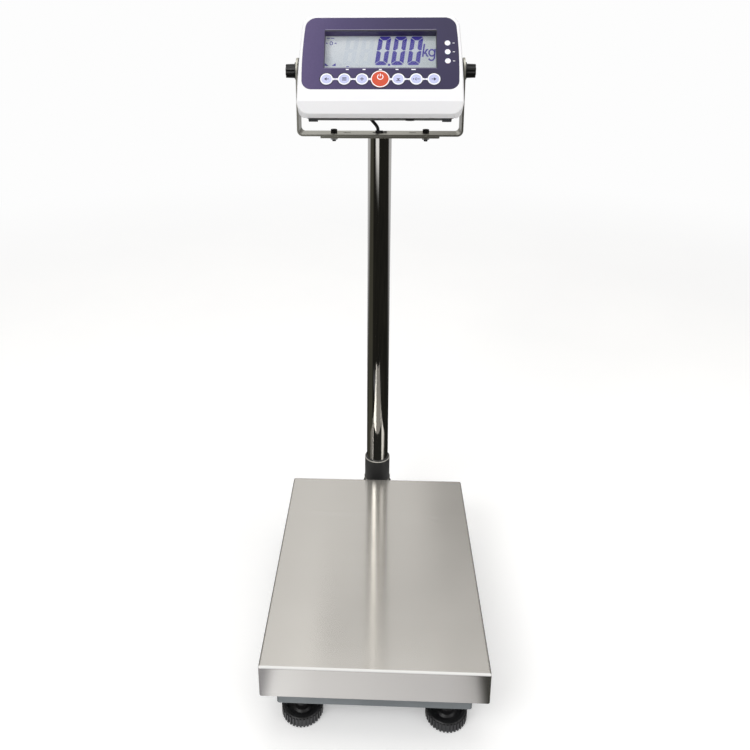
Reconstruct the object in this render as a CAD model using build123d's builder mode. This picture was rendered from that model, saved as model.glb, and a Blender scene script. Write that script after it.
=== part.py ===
from build123d import *
import math
import os

# Column-mounted bench scale for weighing animals: platter on a load cell and
# levelled base, with a tilting weight indicator on a pole behind it.
# Millimetres, +Z up; the user stands on the -Y side, so +X is the user's right.
# The origin lies on the floor, at the centre of the whole outline seen from
# above (platter front edge to the indicator's back).
#
# Name endings: _w across X, _l along Y, _h height, _t thickness, _r radius
# (to the corners for a hexagon), _z height above the floor, _y distance behind
# the platter centre, _up distance up the indicator's face, _depth behind it.

os.makedirs("parts", exist_ok=True)

# ---------------------------------------------------------------------------
# shared dimensions
# ---------------------------------------------------------------------------

# platter (loose stainless tray)
platter_w = 300.0
platter_l = 400.0
platter_top_z = 118.0  # weighing surface
skirt_h = 47.5
platter_t = 1.5
platter_bend_r = 2.5  # outside of the folds
platter_corner_r = 3.0

# base frame (welded rectangular tube)
frame_w = 260.0
frame_l = 370.0
frame_z = 42.0  # underside
frame_h = 31.0
frame_top_z = frame_z + frame_h
rail_w = 40.0
tube_t = 2.0
outer_wall_t = 3.0  # outer side walls of both frames
frame_hole_w = frame_w - 2 * rail_w
frame_hole_l = frame_l - 2 * rail_w
sleeve_r = 8.0
crosspiece_z = 53.0
crosspiece_t = 10.0
crosspiece_l = 56.0
cable_z = 58.0  # cable run from the base into the pole
frame_cable_hole_r = 4.5

# large bolts and studs, and small socket-head bolts
bolt_r = 4.0
bolt_hole_r = 4.05
hex_r = 7.5
hex_h = 5.3
small_bolt_r = 3.0
hex_key_r = 2.9
hex_key_deep = 3.0

# load cell (single point, along Y) and the live frame it carries
spacer_t = 3.0
spacer_l = 38.0
cell_w = 30.0
cell_l = 130.0
cell_h = 22.0
cell_z = crosspiece_z + crosspiece_t + spacer_t
cell_top_z = cell_z + cell_h
cell_end = 45.0  # distance of each mounting end from the middle
cell_bolt_pitch = 20.0
cell_bolt_hole_r = 3.2
cell_bolt_head_r = 5.0
cell_bolt_head_h = 6.0
cell_tap_r = 3.05
cell_tap_deep = 15.0
cell_bore_r = 8.0
cell_bore_y = 13.0
cell_slot_h = 5.0
cell_cable_z = cell_z + 14
cell_cable_deep = 8.0
cell_cable_hole_r = 2.6
live_w = 270.0
live_l = 370.0
live_z = cell_top_z + spacer_t
live_h = 20.0
live_rail_w = 20.0
live_cross_t = 8.0
live_top_z = live_z + live_h
buffer_r = 9.0
buffer_peg_h = 6.0

# column
pole_back = 235.0  # pole axis behind the platter centre
pole_r = 19.05
pole_wall_t = 1.5
pole_top_z = 733.0
end_plate_t = 3.0
end_plate_w = 187.0
strip_w = 40.0  # front-to-back width of bracket strip and end plate

# swivel bracket
bracket_x = 130.0  # outer face of each arm
bracket_t = 3.0
bracket_bend_r = 9.5
bracket_z = pole_top_z + end_plate_t
bracket_floor_z = bracket_z + bracket_t
arm_top_z = 855.0
pivot_z = 835.0
bracket_bolt_hole_r = 3.3
bracket_bolts_at = [(-73.0, 0), (73.0, 0)]
bracket_slots_at = [(-52.0, 0), (52.0, 0)]

# weight indicator, measured on its own tilted face plane
tilt = math.radians(35.0)  # angle the face leans back from upright
face_y = 163.0
face_z = 791.0
split_depth = 27.0  # joint between front and rear shells
back_depth = 66.0  # the whole indicator
back_top_up = 134.0  # top of the rear shell's flat back, the rearmost point

# the platter centre sits this far from the centre of the whole outline
rear_reach = face_y + back_top_up * math.sin(tilt) + back_depth * math.cos(tilt)
base_y = (platter_l / 2 - rear_reach) / 2
pole_y = base_y + pole_back

# ---------------------------------------------------------------------------
# reference planes
# ---------------------------------------------------------------------------


def facing_back(y, z):
    """Upright plane looking along +Y."""
    return Plane(origin=(0, y, z), x_dir=(1, 0, 0), z_dir=(0, 1, 0))


def facing_front(y, z=0, x=0):
    """Upright plane looking along -Y: x across, y up."""
    return Plane(origin=(x, y, z), x_dir=(1, 0, 0), z_dir=(0, -1, 0))


def pivot_plane(distance, side=1):
    """Plane across the tilt pivot; side is its direction and the sign of its x."""
    return Plane(
        origin=(side * distance, pole_y, pivot_z), x_dir=(0, 1, 0), z_dir=(side, 0, 0)
    )


deck = Plane((0, base_y, 0))  # floor, under the platter centre
column = Plane((0, pole_y, 0))  # floor, under the pole
elevation = facing_front(pole_y)  # upright through the pole axis
# face: x across, y up the panel, z out of the panel towards the user
face = Plane(
    origin=(0, base_y + face_y, face_z),
    x_dir=(1, 0, 0),
    z_dir=(0, -math.cos(tilt), math.sin(tilt)),
)
# side plane of the indicator: x runs up the face, y runs out of it
flank = Plane(
    origin=face.origin, x_dir=(0, math.sin(tilt), math.cos(tilt)), z_dir=(1, 0, 0)
)
face_axis = Axis(face.origin, face.z_dir)

# ---------------------------------------------------------------------------
# shared helpers
# ---------------------------------------------------------------------------


def save(builder, name):
    builder.part.label = name
    export_step(builder.part, f"parts/{name}.step")


def save_stacks(name, plane, spots, layers):
    """Prisms stacked at each spot.

    Each layer is (bottom along the plane's normal, height, radius, sides),
    with 0 sides for a round one.
    """
    with BuildPart() as stacks:
        for bottom, height, radius, sides in layers:
            with BuildSketch(plane.offset(bottom)):
                with Locations(*spots):
                    if sides:
                        RegularPolygon(radius, sides)
                    else:
                        Circle(radius)
            extrude(amount=height)
    save(stacks, name)


def four_corners(x, y):
    return [(side * x, end * y) for side in (-1, 1) for end in (-1, 1)]


# ---------------------------------------------------------------------------
# base frame
# ---------------------------------------------------------------------------
foot_x = 98.8
foot_y = 158.0
feet = {
    "front_left": (-foot_x, -foot_y),
    "front_right": (foot_x, -foot_y),
    "rear_left": (-foot_x, foot_y),
    "rear_right": (foot_x, foot_y),
}
foot_spots = list(feet.values())
stop_spots = four_corners(122.0, 100.0)
socket_bolt_spots = [(side * 32.0, y) for side in (-1, 1) for y in (158.0, 174.0)]
weld_nut_h = 8.0
fixed_bolts = [(0, cell_end + step * cell_bolt_pitch / 2) for step in (-1, 1)]
live_bolts = [(0, -cell_end + step * cell_bolt_pitch / 2) for step in (-1, 1)]

with BuildPart() as base_frame:
    with BuildSketch(deck.offset(frame_z)):
        RectangleRounded(frame_w, frame_l, 4)
        Rectangle(frame_hole_w, frame_hole_l, mode=Mode.SUBTRACT)
    extrude(amount=frame_h)
    # hollow of the tubes
    with BuildSketch(deck.offset(frame_z + tube_t)):
        Rectangle(frame_w - 2 * outer_wall_t, frame_l - 2 * outer_wall_t)
        Rectangle(
            frame_hole_w + 2 * tube_t, frame_hole_l + 2 * tube_t, mode=Mode.SUBTRACT
        )
    extrude(amount=frame_h - 2 * tube_t, mode=Mode.SUBTRACT)
    # crosspiece under the fixed end of the load cell
    with BuildSketch(deck.offset(crosspiece_z)):
        with Locations((0, cell_end)):
            Rectangle(frame_hole_w, crosspiece_l)
    extrude(amount=crosspiece_t)
    # threaded sleeves for the feet
    with BuildSketch(deck.offset(frame_z + tube_t)):
        with Locations(*foot_spots):
            Circle(sleeve_r)
    extrude(amount=frame_h - 2 * tube_t)
    with BuildSketch(deck.offset(frame_z)):
        with Locations(*foot_spots):
            Circle(bolt_hole_r)
    extrude(amount=frame_h, mode=Mode.SUBTRACT)
    # weld nuts for the pole socket
    with BuildSketch(deck.offset(frame_z + tube_t)):
        with Locations(*socket_bolt_spots):
            RegularPolygon(hex_r, 6)
    extrude(amount=weld_nut_h)
    with BuildSketch(deck.offset(frame_z)):
        with Locations(*socket_bolt_spots):
            Circle(bolt_hole_r)
    extrude(amount=tube_t + weld_nut_h, mode=Mode.SUBTRACT)
    # overload stop holes in the top wall
    with BuildSketch(deck.offset(frame_top_z - tube_t)):
        with Locations(*stop_spots):
            Circle(bolt_hole_r)
    extrude(amount=tube_t, mode=Mode.SUBTRACT)
    # load cell bolt holes
    with BuildSketch(deck.offset(crosspiece_z)):
        with Locations(*fixed_bolts):
            Circle(cell_bolt_hole_r)
    extrude(amount=crosspiece_t, mode=Mode.SUBTRACT)
    # cable holes through both walls of the rear rail
    with BuildSketch(facing_back(base_y + frame_l / 2 - rail_w - 1, cable_z)):
        Circle(frame_cable_hole_r)
    extrude(amount=rail_w + 2, mode=Mode.SUBTRACT)
save(base_frame, "base_frame")

stop_z = 60.0
stop_h = 25.0
save_stacks(
    "overload_stops",
    deck,
    stop_spots,
    [(stop_z, stop_h, bolt_r, 0), (stop_z + stop_h, hex_h, hex_r, 6)],
)

level_h = 8.0
save_stacks(
    "bubble_level",
    deck,
    [(-50, -154)],
    [(frame_top_z, level_h, 9, 0), (frame_top_z + level_h, 1.2, 7, 0)],
)

# ---------------------------------------------------------------------------
# levelling feet
# ---------------------------------------------------------------------------
pad_r = 28.5  # over the finger ribs, to their middle
rib_deep = 1.5
rib_count = 36
rib_w = 2.5
rib_z = 0.8
pad_h = 15.0
pad_rim_r = pad_r - rib_deep
pad_bevel = 1.0
stud_h = 60.0
lock_nut_h = 6.0

# turned half section of a pad, (radius, height): flat base, gripping rim,
# dished top, hub, and the bore for the stud
pad_section = [
    (0, 0),
    (pad_rim_r - pad_bevel, 0),
    (pad_rim_r, pad_bevel),
    (pad_rim_r, pad_h - pad_bevel),
    (pad_rim_r - pad_bevel, pad_h),
    (22.5, pad_h),
    (21.0, 10.5),
    (14.0, 9.5),
    (11.5, 12.0),
    (11.0, 19.0),
    (9.0, 20.5),
    (8.4, 28.0),
    (7.4, 29.0),
    (bolt_hole_r, 29.0),
    (bolt_hole_r, pad_h),
    (0, pad_h),
]

for place, (x, y) in feet.items():
    foot_plane = Plane((x, base_y + y, 0))
    with BuildPart() as foot_pad:
        with BuildSketch(facing_front(base_y + y, x=x)):
            with BuildLine():
                Polyline(*pad_section, close=True)
            make_face()
        revolve(axis=Axis((x, base_y + y, 0), (0, 0, 1)))
        # finger ribs round the rim
        with BuildSketch(foot_plane.offset(rib_z)):
            with PolarLocations(pad_rim_r, rib_count):
                Rectangle(2 * rib_deep, rib_w)
        extrude(amount=pad_h - 2.0)
    save(foot_pad, "foot_pad_" + place)

    with BuildPart() as foot_stud:
        with BuildSketch(foot_plane.offset(pad_h)):
            Circle(bolt_r)
        extrude(amount=stud_h)
        chamfer(foot_stud.faces().sort_by(Axis.Z)[-1].edges(), 0.8)
    save(foot_stud, "foot_stud_" + place)

with BuildPart() as foot_lock_nuts:
    with BuildSketch(deck.offset(frame_z - lock_nut_h)):
        with Locations(*foot_spots):
            RegularPolygon(hex_r, 6)
        with Locations(*foot_spots):
            Circle(bolt_hole_r, mode=Mode.SUBTRACT)
    extrude(amount=lock_nut_h)
save(foot_lock_nuts, "foot_lock_nuts")

# ---------------------------------------------------------------------------
# load cell
# ---------------------------------------------------------------------------


def save_cell_spacer(name, bottom_z, middle_y, bolts):
    with BuildPart() as spacer:
        with BuildSketch(deck.offset(bottom_z)):
            with Locations((0, middle_y)):
                Rectangle(cell_w, spacer_l)
            with Locations(*bolts):
                Circle(cell_bolt_hole_r, mode=Mode.SUBTRACT)
        extrude(amount=spacer_t)
    save(spacer, name)


def save_cell_bolts(name, bolts, head_z, shank_z, shank_h, hex_key_z):
    with BuildPart() as cell_bolts:
        with BuildSketch(deck.offset(head_z)):
            with Locations(*bolts):
                Circle(cell_bolt_head_r)
        extrude(amount=cell_bolt_head_h)
        with BuildSketch(deck.offset(shank_z)):
            with Locations(*bolts):
                Circle(small_bolt_r)
        extrude(amount=shank_h)
        with BuildSketch(deck.offset(hex_key_z)):
            with Locations(*bolts):
                RegularPolygon(hex_key_r, 6)
        extrude(amount=hex_key_deep, mode=Mode.SUBTRACT)
    save(cell_bolts, name)


save_cell_spacer("load_cell_spacer_lower", cell_z - spacer_t, cell_end, fixed_bolts)
save_cell_spacer("load_cell_spacer_upper", cell_top_z, -cell_end, live_bolts)

with BuildPart() as load_cell:
    with BuildSketch(deck.offset(cell_z)):
        Rectangle(cell_w, cell_l)
    extrude(amount=cell_h)
    chamfer(load_cell.edges().filter_by(Axis.Z), 1)
    # flexure: two crosswise bores joined by a slot, cut from side to side
    with BuildSketch(
        Plane(
            origin=(-cell_w / 2 - 1, base_y, cell_z + cell_h / 2),
            x_dir=(0, 1, 0),
            z_dir=(1, 0, 0),
        )
    ):
        with Locations((-cell_bore_y, 0), (cell_bore_y, 0)):
            Circle(cell_bore_r)
        Rectangle(2 * cell_bore_y, cell_slot_h)
    extrude(amount=cell_w + 2, mode=Mode.SUBTRACT)
    # tapped holes, fixed end from below and live end from above
    for hole_z, bolts in (
        (cell_z, fixed_bolts),
        (cell_top_z - cell_tap_deep, live_bolts),
    ):
        with BuildSketch(deck.offset(hole_z)):
            with Locations(*bolts):
                Circle(cell_tap_r)
        extrude(amount=cell_tap_deep, mode=Mode.SUBTRACT)
    # cable entry at the fixed end
    with BuildSketch(facing_back(base_y + cell_l / 2 - cell_cable_deep, cell_cable_z)):
        Circle(cell_cable_hole_r)
    extrude(amount=cell_cable_deep, mode=Mode.SUBTRACT)
save(load_cell, "load_cell")

save_cell_bolts(
    "load_cell_bolts_lower",
    fixed_bolts,
    head_z=crosspiece_z - cell_bolt_head_h,
    shank_z=crosspiece_z,
    shank_h=22,
    hex_key_z=crosspiece_z - cell_bolt_head_h,
)
save_cell_bolts(
    "load_cell_bolts_upper",
    live_bolts,
    head_z=live_z + live_cross_t,
    shank_z=live_z - 16,
    shank_h=16 + live_cross_t,
    hex_key_z=live_z + live_cross_t + cell_bolt_head_h - hex_key_deep,
)

# ---------------------------------------------------------------------------
# live frame, carried by the front end of the load cell
# ---------------------------------------------------------------------------
buffer_spots = four_corners(125.0, 175.0)
live_hole_w = live_w - 2 * live_rail_w
live_hole_l = live_l - 2 * live_rail_w

with BuildPart() as live_frame:
    with BuildSketch(deck.offset(live_z)):
        RectangleRounded(live_w, live_l, 3)
        Rectangle(live_hole_w, live_hole_l, mode=Mode.SUBTRACT)
    extrude(amount=live_h)
    # hollow of the tubes
    with BuildSketch(deck.offset(live_z + tube_t)):
        Rectangle(live_w - 2 * outer_wall_t, live_l - 2 * outer_wall_t)
        Rectangle(
            live_hole_w + 2 * tube_t, live_hole_l + 2 * tube_t, mode=Mode.SUBTRACT
        )
    extrude(amount=live_h - 2 * tube_t, mode=Mode.SUBTRACT)
    # crosspiece over the live end of the load cell, and a narrower rear one
    with BuildSketch(deck.offset(live_z)):
        with Locations((0, -cell_end)):
            Rectangle(live_hole_w, crosspiece_l)
        with Locations((0, 80)):
            Rectangle(live_hole_w, 30)
    extrude(amount=live_cross_t)
    with BuildSketch(deck.offset(live_z)):
        with Locations(*live_bolts):
            Circle(cell_bolt_hole_r)
    extrude(amount=live_cross_t, mode=Mode.SUBTRACT)
    # buffer peg holes in the top wall
    with BuildSketch(deck.offset(live_top_z - tube_t)):
        with Locations(*buffer_spots):
            Circle(3.1)
    extrude(amount=tube_t, mode=Mode.SUBTRACT)
save(live_frame, "live_frame")

save_stacks(
    "platter_buffers",
    deck,
    buffer_spots,
    [
        (live_top_z, platter_top_z - platter_t - live_top_z, buffer_r, 0),
        (live_top_z - buffer_peg_h, buffer_peg_h, 3.0, 0),
    ],
)

# ---------------------------------------------------------------------------
# platter
# ---------------------------------------------------------------------------
with BuildPart() as platter:
    with BuildSketch(deck.offset(platter_top_z - skirt_h)):
        RectangleRounded(platter_w, platter_l, platter_corner_r)
    extrude(amount=skirt_h)
    fillet(platter.faces().sort_by(Axis.Z)[-1].edges(), platter_bend_r)
    with BuildSketch(deck.offset(platter_top_z - skirt_h)):
        RectangleRounded(
            platter_w - 2 * platter_t,
            platter_l - 2 * platter_t,
            platter_corner_r - platter_t,
        )
    extrude(amount=skirt_h - platter_t, mode=Mode.SUBTRACT)
save(platter, "platter")

# ---------------------------------------------------------------------------
# pole socket
# ---------------------------------------------------------------------------
foot_plate_t = 6.0
foot_plate_z = frame_z - foot_plate_t
socket_r = 22.5
socket_top_z = 145.0
socket_low_z = frame_z - 1  # upright parts overlap the foot plate by 1 mm
clamp_zs = (82.0, 122.0)
clamp_tip = 31.0  # outer end of the clamp screws, behind the pole axis
pole_cable_hole_r = 5.5

# outlines seen from the front, (x, height)
front_plate_outline = [
    (-30, socket_low_z), (30, socket_low_z), (30, 66), (18, 80), (-18, 80), (-30, 66),
]
gusset_outline = [
    (-43, socket_low_z), (43, socket_low_z), (43, 47), (22, 99), (-22, 99), (-43, 47),
]

with BuildPart() as pole_socket:
    # foot plate, bolted up against the rear rail
    with BuildSketch(deck.offset(foot_plate_z)):
        with Locations((0, 206)):
            RectangleRounded(92, 114, 6)
    extrude(amount=foot_plate_t)
    # front plate with clipped top corners
    with BuildSketch(facing_front(base_y + 213.5)):
        with BuildLine():
            Polyline(*front_plate_outline, close=True)
        make_face()
    extrude(amount=6)
    # side gussets
    with BuildSketch(elevation.offset(-2.5)):
        with BuildLine():
            Polyline(*gusset_outline, close=True)
        make_face()
    extrude(amount=5)
    # socket tube
    with BuildSketch(column.offset(socket_low_z)):
        Circle(socket_r)
    extrude(amount=socket_top_z - socket_low_z)
    # weld bead just above the gussets
    with BuildSketch(column.offset(100)):
        Circle(socket_r + 1.0)
    extrude(amount=2.2)
    # clamp screw bosses at the back
    for z in clamp_zs:
        with BuildSketch(facing_back(pole_y + 18, z)):
            Circle(7.5)
        extrude(amount=7.5)
    # bore for the pole
    with BuildSketch(column.offset(frame_z)):
        Circle(pole_r + 0.1)
    extrude(amount=socket_top_z, mode=Mode.SUBTRACT)
    # clamp screw holes
    for z in clamp_zs:
        with BuildSketch(facing_back(pole_y + 15, z)):
            Circle(bolt_hole_r)
        extrude(amount=15, mode=Mode.SUBTRACT)
    # cable passage to the base
    with BuildSketch(facing_front(pole_y - 15, cable_z)):
        Circle(pole_cable_hole_r)
    extrude(amount=20, mode=Mode.SUBTRACT)
    # bolt holes
    with BuildSketch(deck.offset(foot_plate_z)):
        with Locations(*socket_bolt_spots):
            Circle(4.3)
    extrude(amount=foot_plate_t, mode=Mode.SUBTRACT)
    # bevelled outer rim at the top
    chamfer(
        pole_socket.faces().sort_by(Axis.Z)[-1].edges().sort_by(SortBy.LENGTH)[-1], 0.8
    )
save(pole_socket, "pole_socket")

save_stacks(
    "socket_bolts",
    deck,
    socket_bolt_spots,
    [(foot_plate_z - hex_h, hex_h, hex_r, 6), (foot_plate_z, 15, bolt_r, 0)],
)

with BuildPart() as clamp_screws:
    for z in clamp_zs:
        with BuildSketch(facing_back(pole_y + pole_r, z)):
            Circle(bolt_r)
        extrude(amount=clamp_tip - hex_h - pole_r + 0.5)
        with BuildSketch(facing_back(pole_y + clamp_tip - hex_h, z)):
            RegularPolygon(hex_r, 6)
        extrude(amount=hex_h)
save(clamp_screws, "clamp_screws")

# ---------------------------------------------------------------------------
# pole and its end plate
# ---------------------------------------------------------------------------
with BuildPart() as pole:
    with BuildSketch(column.offset(frame_z)):
        Circle(pole_r)
        Circle(pole_r - pole_wall_t, mode=Mode.SUBTRACT)
    extrude(amount=pole_top_z - frame_z)
    # cable hole in the front wall
    with BuildSketch(facing_front(pole_y - 10, cable_z)):
        Circle(pole_cable_hole_r)
    extrude(amount=15, mode=Mode.SUBTRACT)
save(pole, "pole")

with BuildPart() as pole_end_plate:
    with BuildSketch(column.offset(pole_top_z)):
        RectangleRounded(end_plate_w, strip_w, 3)
        with Locations(*bracket_bolts_at):
            Circle(bracket_bolt_hole_r, mode=Mode.SUBTRACT)
        with Locations(*bracket_slots_at):
            SlotOverall(12, 5, mode=Mode.SUBTRACT)
        SlotOverall(26, 14, mode=Mode.SUBTRACT)
    extrude(amount=end_plate_t)
save(pole_end_plate, "pole_end_plate")

# ---------------------------------------------------------------------------
# swivel bracket
# ---------------------------------------------------------------------------
arm_over = 10.0  # the cutting shape runs past the arm tops

with BuildPart() as bracket:
    with BuildSketch(elevation.offset(-strip_w / 2)) as outer:
        with Locations((0, (bracket_z + arm_top_z) / 2)):
            Rectangle(2 * bracket_x, arm_top_z - bracket_z)
        fillet(outer.vertices().group_by(Axis.Y)[0], bracket_bend_r)
    extrude(amount=strip_w)
    with BuildSketch(elevation.offset(-strip_w / 2 - 1)) as inner:
        with Locations((0, (bracket_floor_z + arm_top_z + arm_over) / 2)):
            Rectangle(
                2 * (bracket_x - bracket_t), arm_top_z + arm_over - bracket_floor_z
            )
        fillet(inner.vertices().group_by(Axis.Y)[0], bracket_bend_r - bracket_t)
    extrude(amount=strip_w + 2, mode=Mode.SUBTRACT)
    # rounded arm ends, just short of a full half circle
    fillet(
        bracket.faces().group_by(Axis.Z)[-1].edges().filter_by(Axis.X), strip_w / 2 - 0.1
    )
    with BuildSketch(column.offset(bracket_z)):
        with Locations(*bracket_bolts_at):
            Circle(bracket_bolt_hole_r)
        with Locations(*bracket_slots_at):
            SlotOverall(12, 5)
        SlotOverall(24, 8)
    extrude(amount=bracket_t, mode=Mode.SUBTRACT)
    # pivot holes
    with BuildSketch(pivot_plane(-bracket_x - 1)):
        Circle(4.25)
    extrude(amount=2 * bracket_x + 2, mode=Mode.SUBTRACT)
save(bracket, "bracket")

button_head_h = 5.6
bracket_bolt_below = 7.5  # shank showing under the end plate
bracket_nut_h = 5.0

with BuildPart() as bracket_bolts:
    with BuildSketch(column.offset(bracket_floor_z)):
        with Locations(*bracket_bolts_at):
            Circle(5.2)
    extrude(amount=button_head_h)
    fillet(bracket_bolts.faces().group_by(Axis.Z)[-1].edges(), 0.8)
    with BuildSketch(column.offset(bracket_floor_z + button_head_h - hex_key_deep)):
        with Locations(*bracket_bolts_at):
            RegularPolygon(hex_key_r, 6)
    extrude(amount=hex_key_deep, mode=Mode.SUBTRACT)
    with BuildSketch(column.offset(pole_top_z - bracket_bolt_below)):
        with Locations(*bracket_bolts_at):
            Circle(small_bolt_r)
    extrude(amount=bracket_floor_z - pole_top_z + bracket_bolt_below)
save(bracket_bolts, "bracket_bolts")

with BuildPart() as bracket_nuts:
    with BuildSketch(column.offset(pole_top_z - bracket_nut_h)):
        with Locations(*bracket_bolts_at):
            RegularPolygon(5.8, 6)
        with Locations(*bracket_bolts_at):
            Circle(3.02, mode=Mode.SUBTRACT)
    extrude(amount=bracket_nut_h)
save(bracket_nuts, "bracket_nuts")

# ---------------------------------------------------------------------------
# weight indicator: layout
# ---------------------------------------------------------------------------
shell_t = 2.5
panel_t = 1.2
gasket_t = 0.8
rear_depth = split_depth + gasket_t  # front edge of the rear shell
well_depth = 13.0  # display well
window_t = 1.5
window_w = 170.0
window_low = 63.0
window_high = 126.0
window_h = window_high - window_low
window_spot = (0, (window_low + window_high) / 2)
key_up = 43.5
key_r = 9.5
key_xs = (-80.3, -53.6, -27.1, 27.2, 53.9, 80.3)
small_keys = [(x, key_up) for x in key_xs]
power_spot = (0.2, key_up)
power_r = 14.2
stem_r = 5.2
lamp_spots = [(101.4, up) for up in (105.0, 89.8, 74.2)]
lamp_r = 4.25
board_t = 1.6
key_board_depth = 11.4  # front faces of the boards
main_board_depth = 22.0
screw_seat_depth = 36.0
screw_spots = [(-106.0, 8.0), (106.0, 8.0), (-102.0, 134.0), (102.0, 134.0)]
main_board_posts = [(-94.0, 64.0), (94.0, 64.0), (-94.0, 122.0), (94.0, 122.0)]
key_board_posts = [(-91.5, 43.0), (91.5, 43.0)]
battery_spot = (0, 66)
cable_exit_x = -14.0
cable_exit_up = 16.0
cable_exit_spot = (cable_exit_x, cable_exit_up)


def shell_outline(low, high, half_low, half_high, low_r, high_r, bow):
    """Rounded four-sided outline with gently bowed flanks, drawn up the face."""
    middle = (low + high) / 2
    half_middle = (half_low + half_high) / 2 + bow
    with BuildSketch(Plane.XY) as flat:
        with BuildLine():
            Line((-half_low, low), (half_low, low))
            ThreePointArc((half_low, low), (half_middle, middle), (half_high, high))
            Line((half_high, high), (-half_high, high))
            ThreePointArc((-half_high, high), (-half_middle, middle), (-half_low, low))
        make_face()
        fillet(flat.vertices().group_by(Axis.Y)[0], low_r)
        fillet(flat.vertices().group_by(Axis.Y)[-1], high_r)
    return flat.sketch


# ---------------------------------------------------------------------------
# front shell
# ---------------------------------------------------------------------------
chin_top_up = 6.9
chin_drop = 9.0  # how far the chin falls back at the lower edge
body_low = -9.5
body_high = 154.7
front_profile = shell_outline(body_low, body_high, 124.0, 119.5, 17, 19, 2.0)
cavity_profile = shell_outline(
    body_low + shell_t, body_high - shell_t, 121.3, 117.0, 15, 17, 2.0
)
chin_cavity = shell_outline(-4.7, 24, 121.3, 121.3, 15, 4, 0.2)
panel_profile = shell_outline(26.5, 150.0, 117.0, 114.0, 15, 18, 2.6)
panel_seat = shell_outline(26.3, 150.2, 117.2, 114.2, 15, 18, 2.6)

# cuts seen on the flank plane, (up the face, out of the face)
chin_cut = [(chin_top_up, 0), (chin_top_up, 5), (-30, 5), (-30, -14), (body_low, -chin_drop)]
underside_cut = [(body_low, -12), (-30, -12), (-30, -28), (-7.2, -28)]
flank_cut_x = 140.0  # both cuts run from -X to +X past the shell

# direction the chin faces: out of the panel, turned down by its slope
chin_slope = math.atan2(chin_drop, chin_top_up - body_low)
chin_axis = Axis(
    face.origin, face.z_dir * math.cos(chin_slope) - face.y_dir * math.sin(chin_slope)
)

with BuildPart() as front_housing:
    with BuildSketch(face.offset(-split_depth)):
        add(front_profile)
    extrude(amount=split_depth)
    # softened rim of the face
    fillet(front_housing.faces().sort_by(face_axis)[-1].edges(), 3.0)
    # the chin falls back from the panel
    with BuildSketch(flank.offset(-flank_cut_x)):
        with BuildLine():
            Polyline(*chin_cut, close=True)
        make_face()
    extrude(amount=2 * flank_cut_x, mode=Mode.SUBTRACT)
    # soften the chin's edges, except along the crease with the panel
    chin_face = front_housing.faces().sort_by(chin_axis)[-1]
    fillet(
        [
            edge
            for edge in chin_face.edges()
            if (edge.center() - face.origin).dot(face.y_dir) < 6.0
        ],
        2.5,
    )
    # the underside rises towards the split
    with BuildSketch(flank.offset(-flank_cut_x)):
        with BuildLine():
            Polyline(*underside_cut, close=True)
        make_face()
    extrude(amount=2 * flank_cut_x, mode=Mode.SUBTRACT)
    # hollow: full depth above the chin, shallower behind it
    with BuildSketch(face.offset(-split_depth)):
        add(cavity_profile)
        with Locations((0, -5)):
            Rectangle(300, 26, mode=Mode.SUBTRACT)
    extrude(amount=split_depth - panel_t - shell_t, mode=Mode.SUBTRACT)
    with BuildSketch(face.offset(-split_depth)):
        add(chin_cavity)
    extrude(amount=split_depth - 13.5, mode=Mode.SUBTRACT)
    # screw posts
    with BuildSketch(face.offset(-split_depth + 0.2)):
        with Locations(*screw_spots):
            Circle(4.5)
    extrude(amount=split_depth - 3.4)
    with BuildSketch(face.offset(-split_depth)):
        with Locations(*screw_spots):
            Circle(1.55)
    extrude(amount=15, mode=Mode.SUBTRACT)
    # posts that carry the circuit boards
    with BuildSketch(face.offset(-main_board_depth)):
        with Locations(*main_board_posts):
            Circle(3.0)
    extrude(amount=19.0)
    with BuildSketch(face.offset(-key_board_depth)):
        with Locations(*key_board_posts):
            Circle(2.5)
    extrude(amount=8.5)
    # seat for the panel
    with BuildSketch(face.offset(-panel_t)):
        add(panel_seat)
    extrude(amount=3, mode=Mode.SUBTRACT)
    # display opening, key and lamp holes
    with BuildSketch(face.offset(-5)):
        with Locations(window_spot):
            Rectangle(window_w + 4.4, window_h + 4.4)
        with Locations(*small_keys):
            Circle(5.5)
        with Locations(power_spot):
            Circle(5.5)
        with Locations(*lamp_spots):
            Circle(2.6)
    extrude(amount=5, mode=Mode.SUBTRACT)
save(front_housing, "front_housing")

# ---------------------------------------------------------------------------
# front panel, display and lamps
# ---------------------------------------------------------------------------
with BuildPart() as front_panel:
    with BuildSketch(face.offset(-panel_t)):
        add(panel_profile)
    extrude(amount=panel_t)
    # block for the walls of the display well
    with BuildSketch(face.offset(-well_depth)):
        with Locations(window_spot):
            Rectangle(window_w + 4.0, window_h + 4.0)
    extrude(amount=well_depth - panel_t)
    with BuildSketch(face.offset(-well_depth - 1)):
        with Locations(window_spot):
            Rectangle(window_w, window_h)
        with Locations(*small_keys):
            Circle(key_r + 0.2)
        with Locations(power_spot):
            Circle(power_r + 0.2)
        with Locations(*lamp_spots):
            Circle(lamp_r + 0.05)
    extrude(amount=well_depth + 2, mode=Mode.SUBTRACT)
save(front_panel, "front_panel")

with BuildPart() as display_window:
    with BuildSketch(face.offset(-well_depth - window_t)):
        with Locations(window_spot):
            Rectangle(window_w + 3.6, window_h + 3.6)
    extrude(amount=window_t)
save(display_window, "display_window")

display_front_t = 3.6
display_back_t = 3.5
display_joint_depth = well_depth + window_t + display_front_t

with BuildPart() as display_module:
    with BuildSketch(face.offset(-display_joint_depth)):
        with Locations(window_spot):
            Rectangle(window_w + 8, window_h + 7)
    extrude(amount=display_front_t)
    with BuildSketch(face.offset(-display_joint_depth - display_back_t)):
        with Locations(window_spot):
            Rectangle(window_w + 4, window_h + 3)
    extrude(amount=display_back_t)
save(display_module, "display_module")

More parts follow.
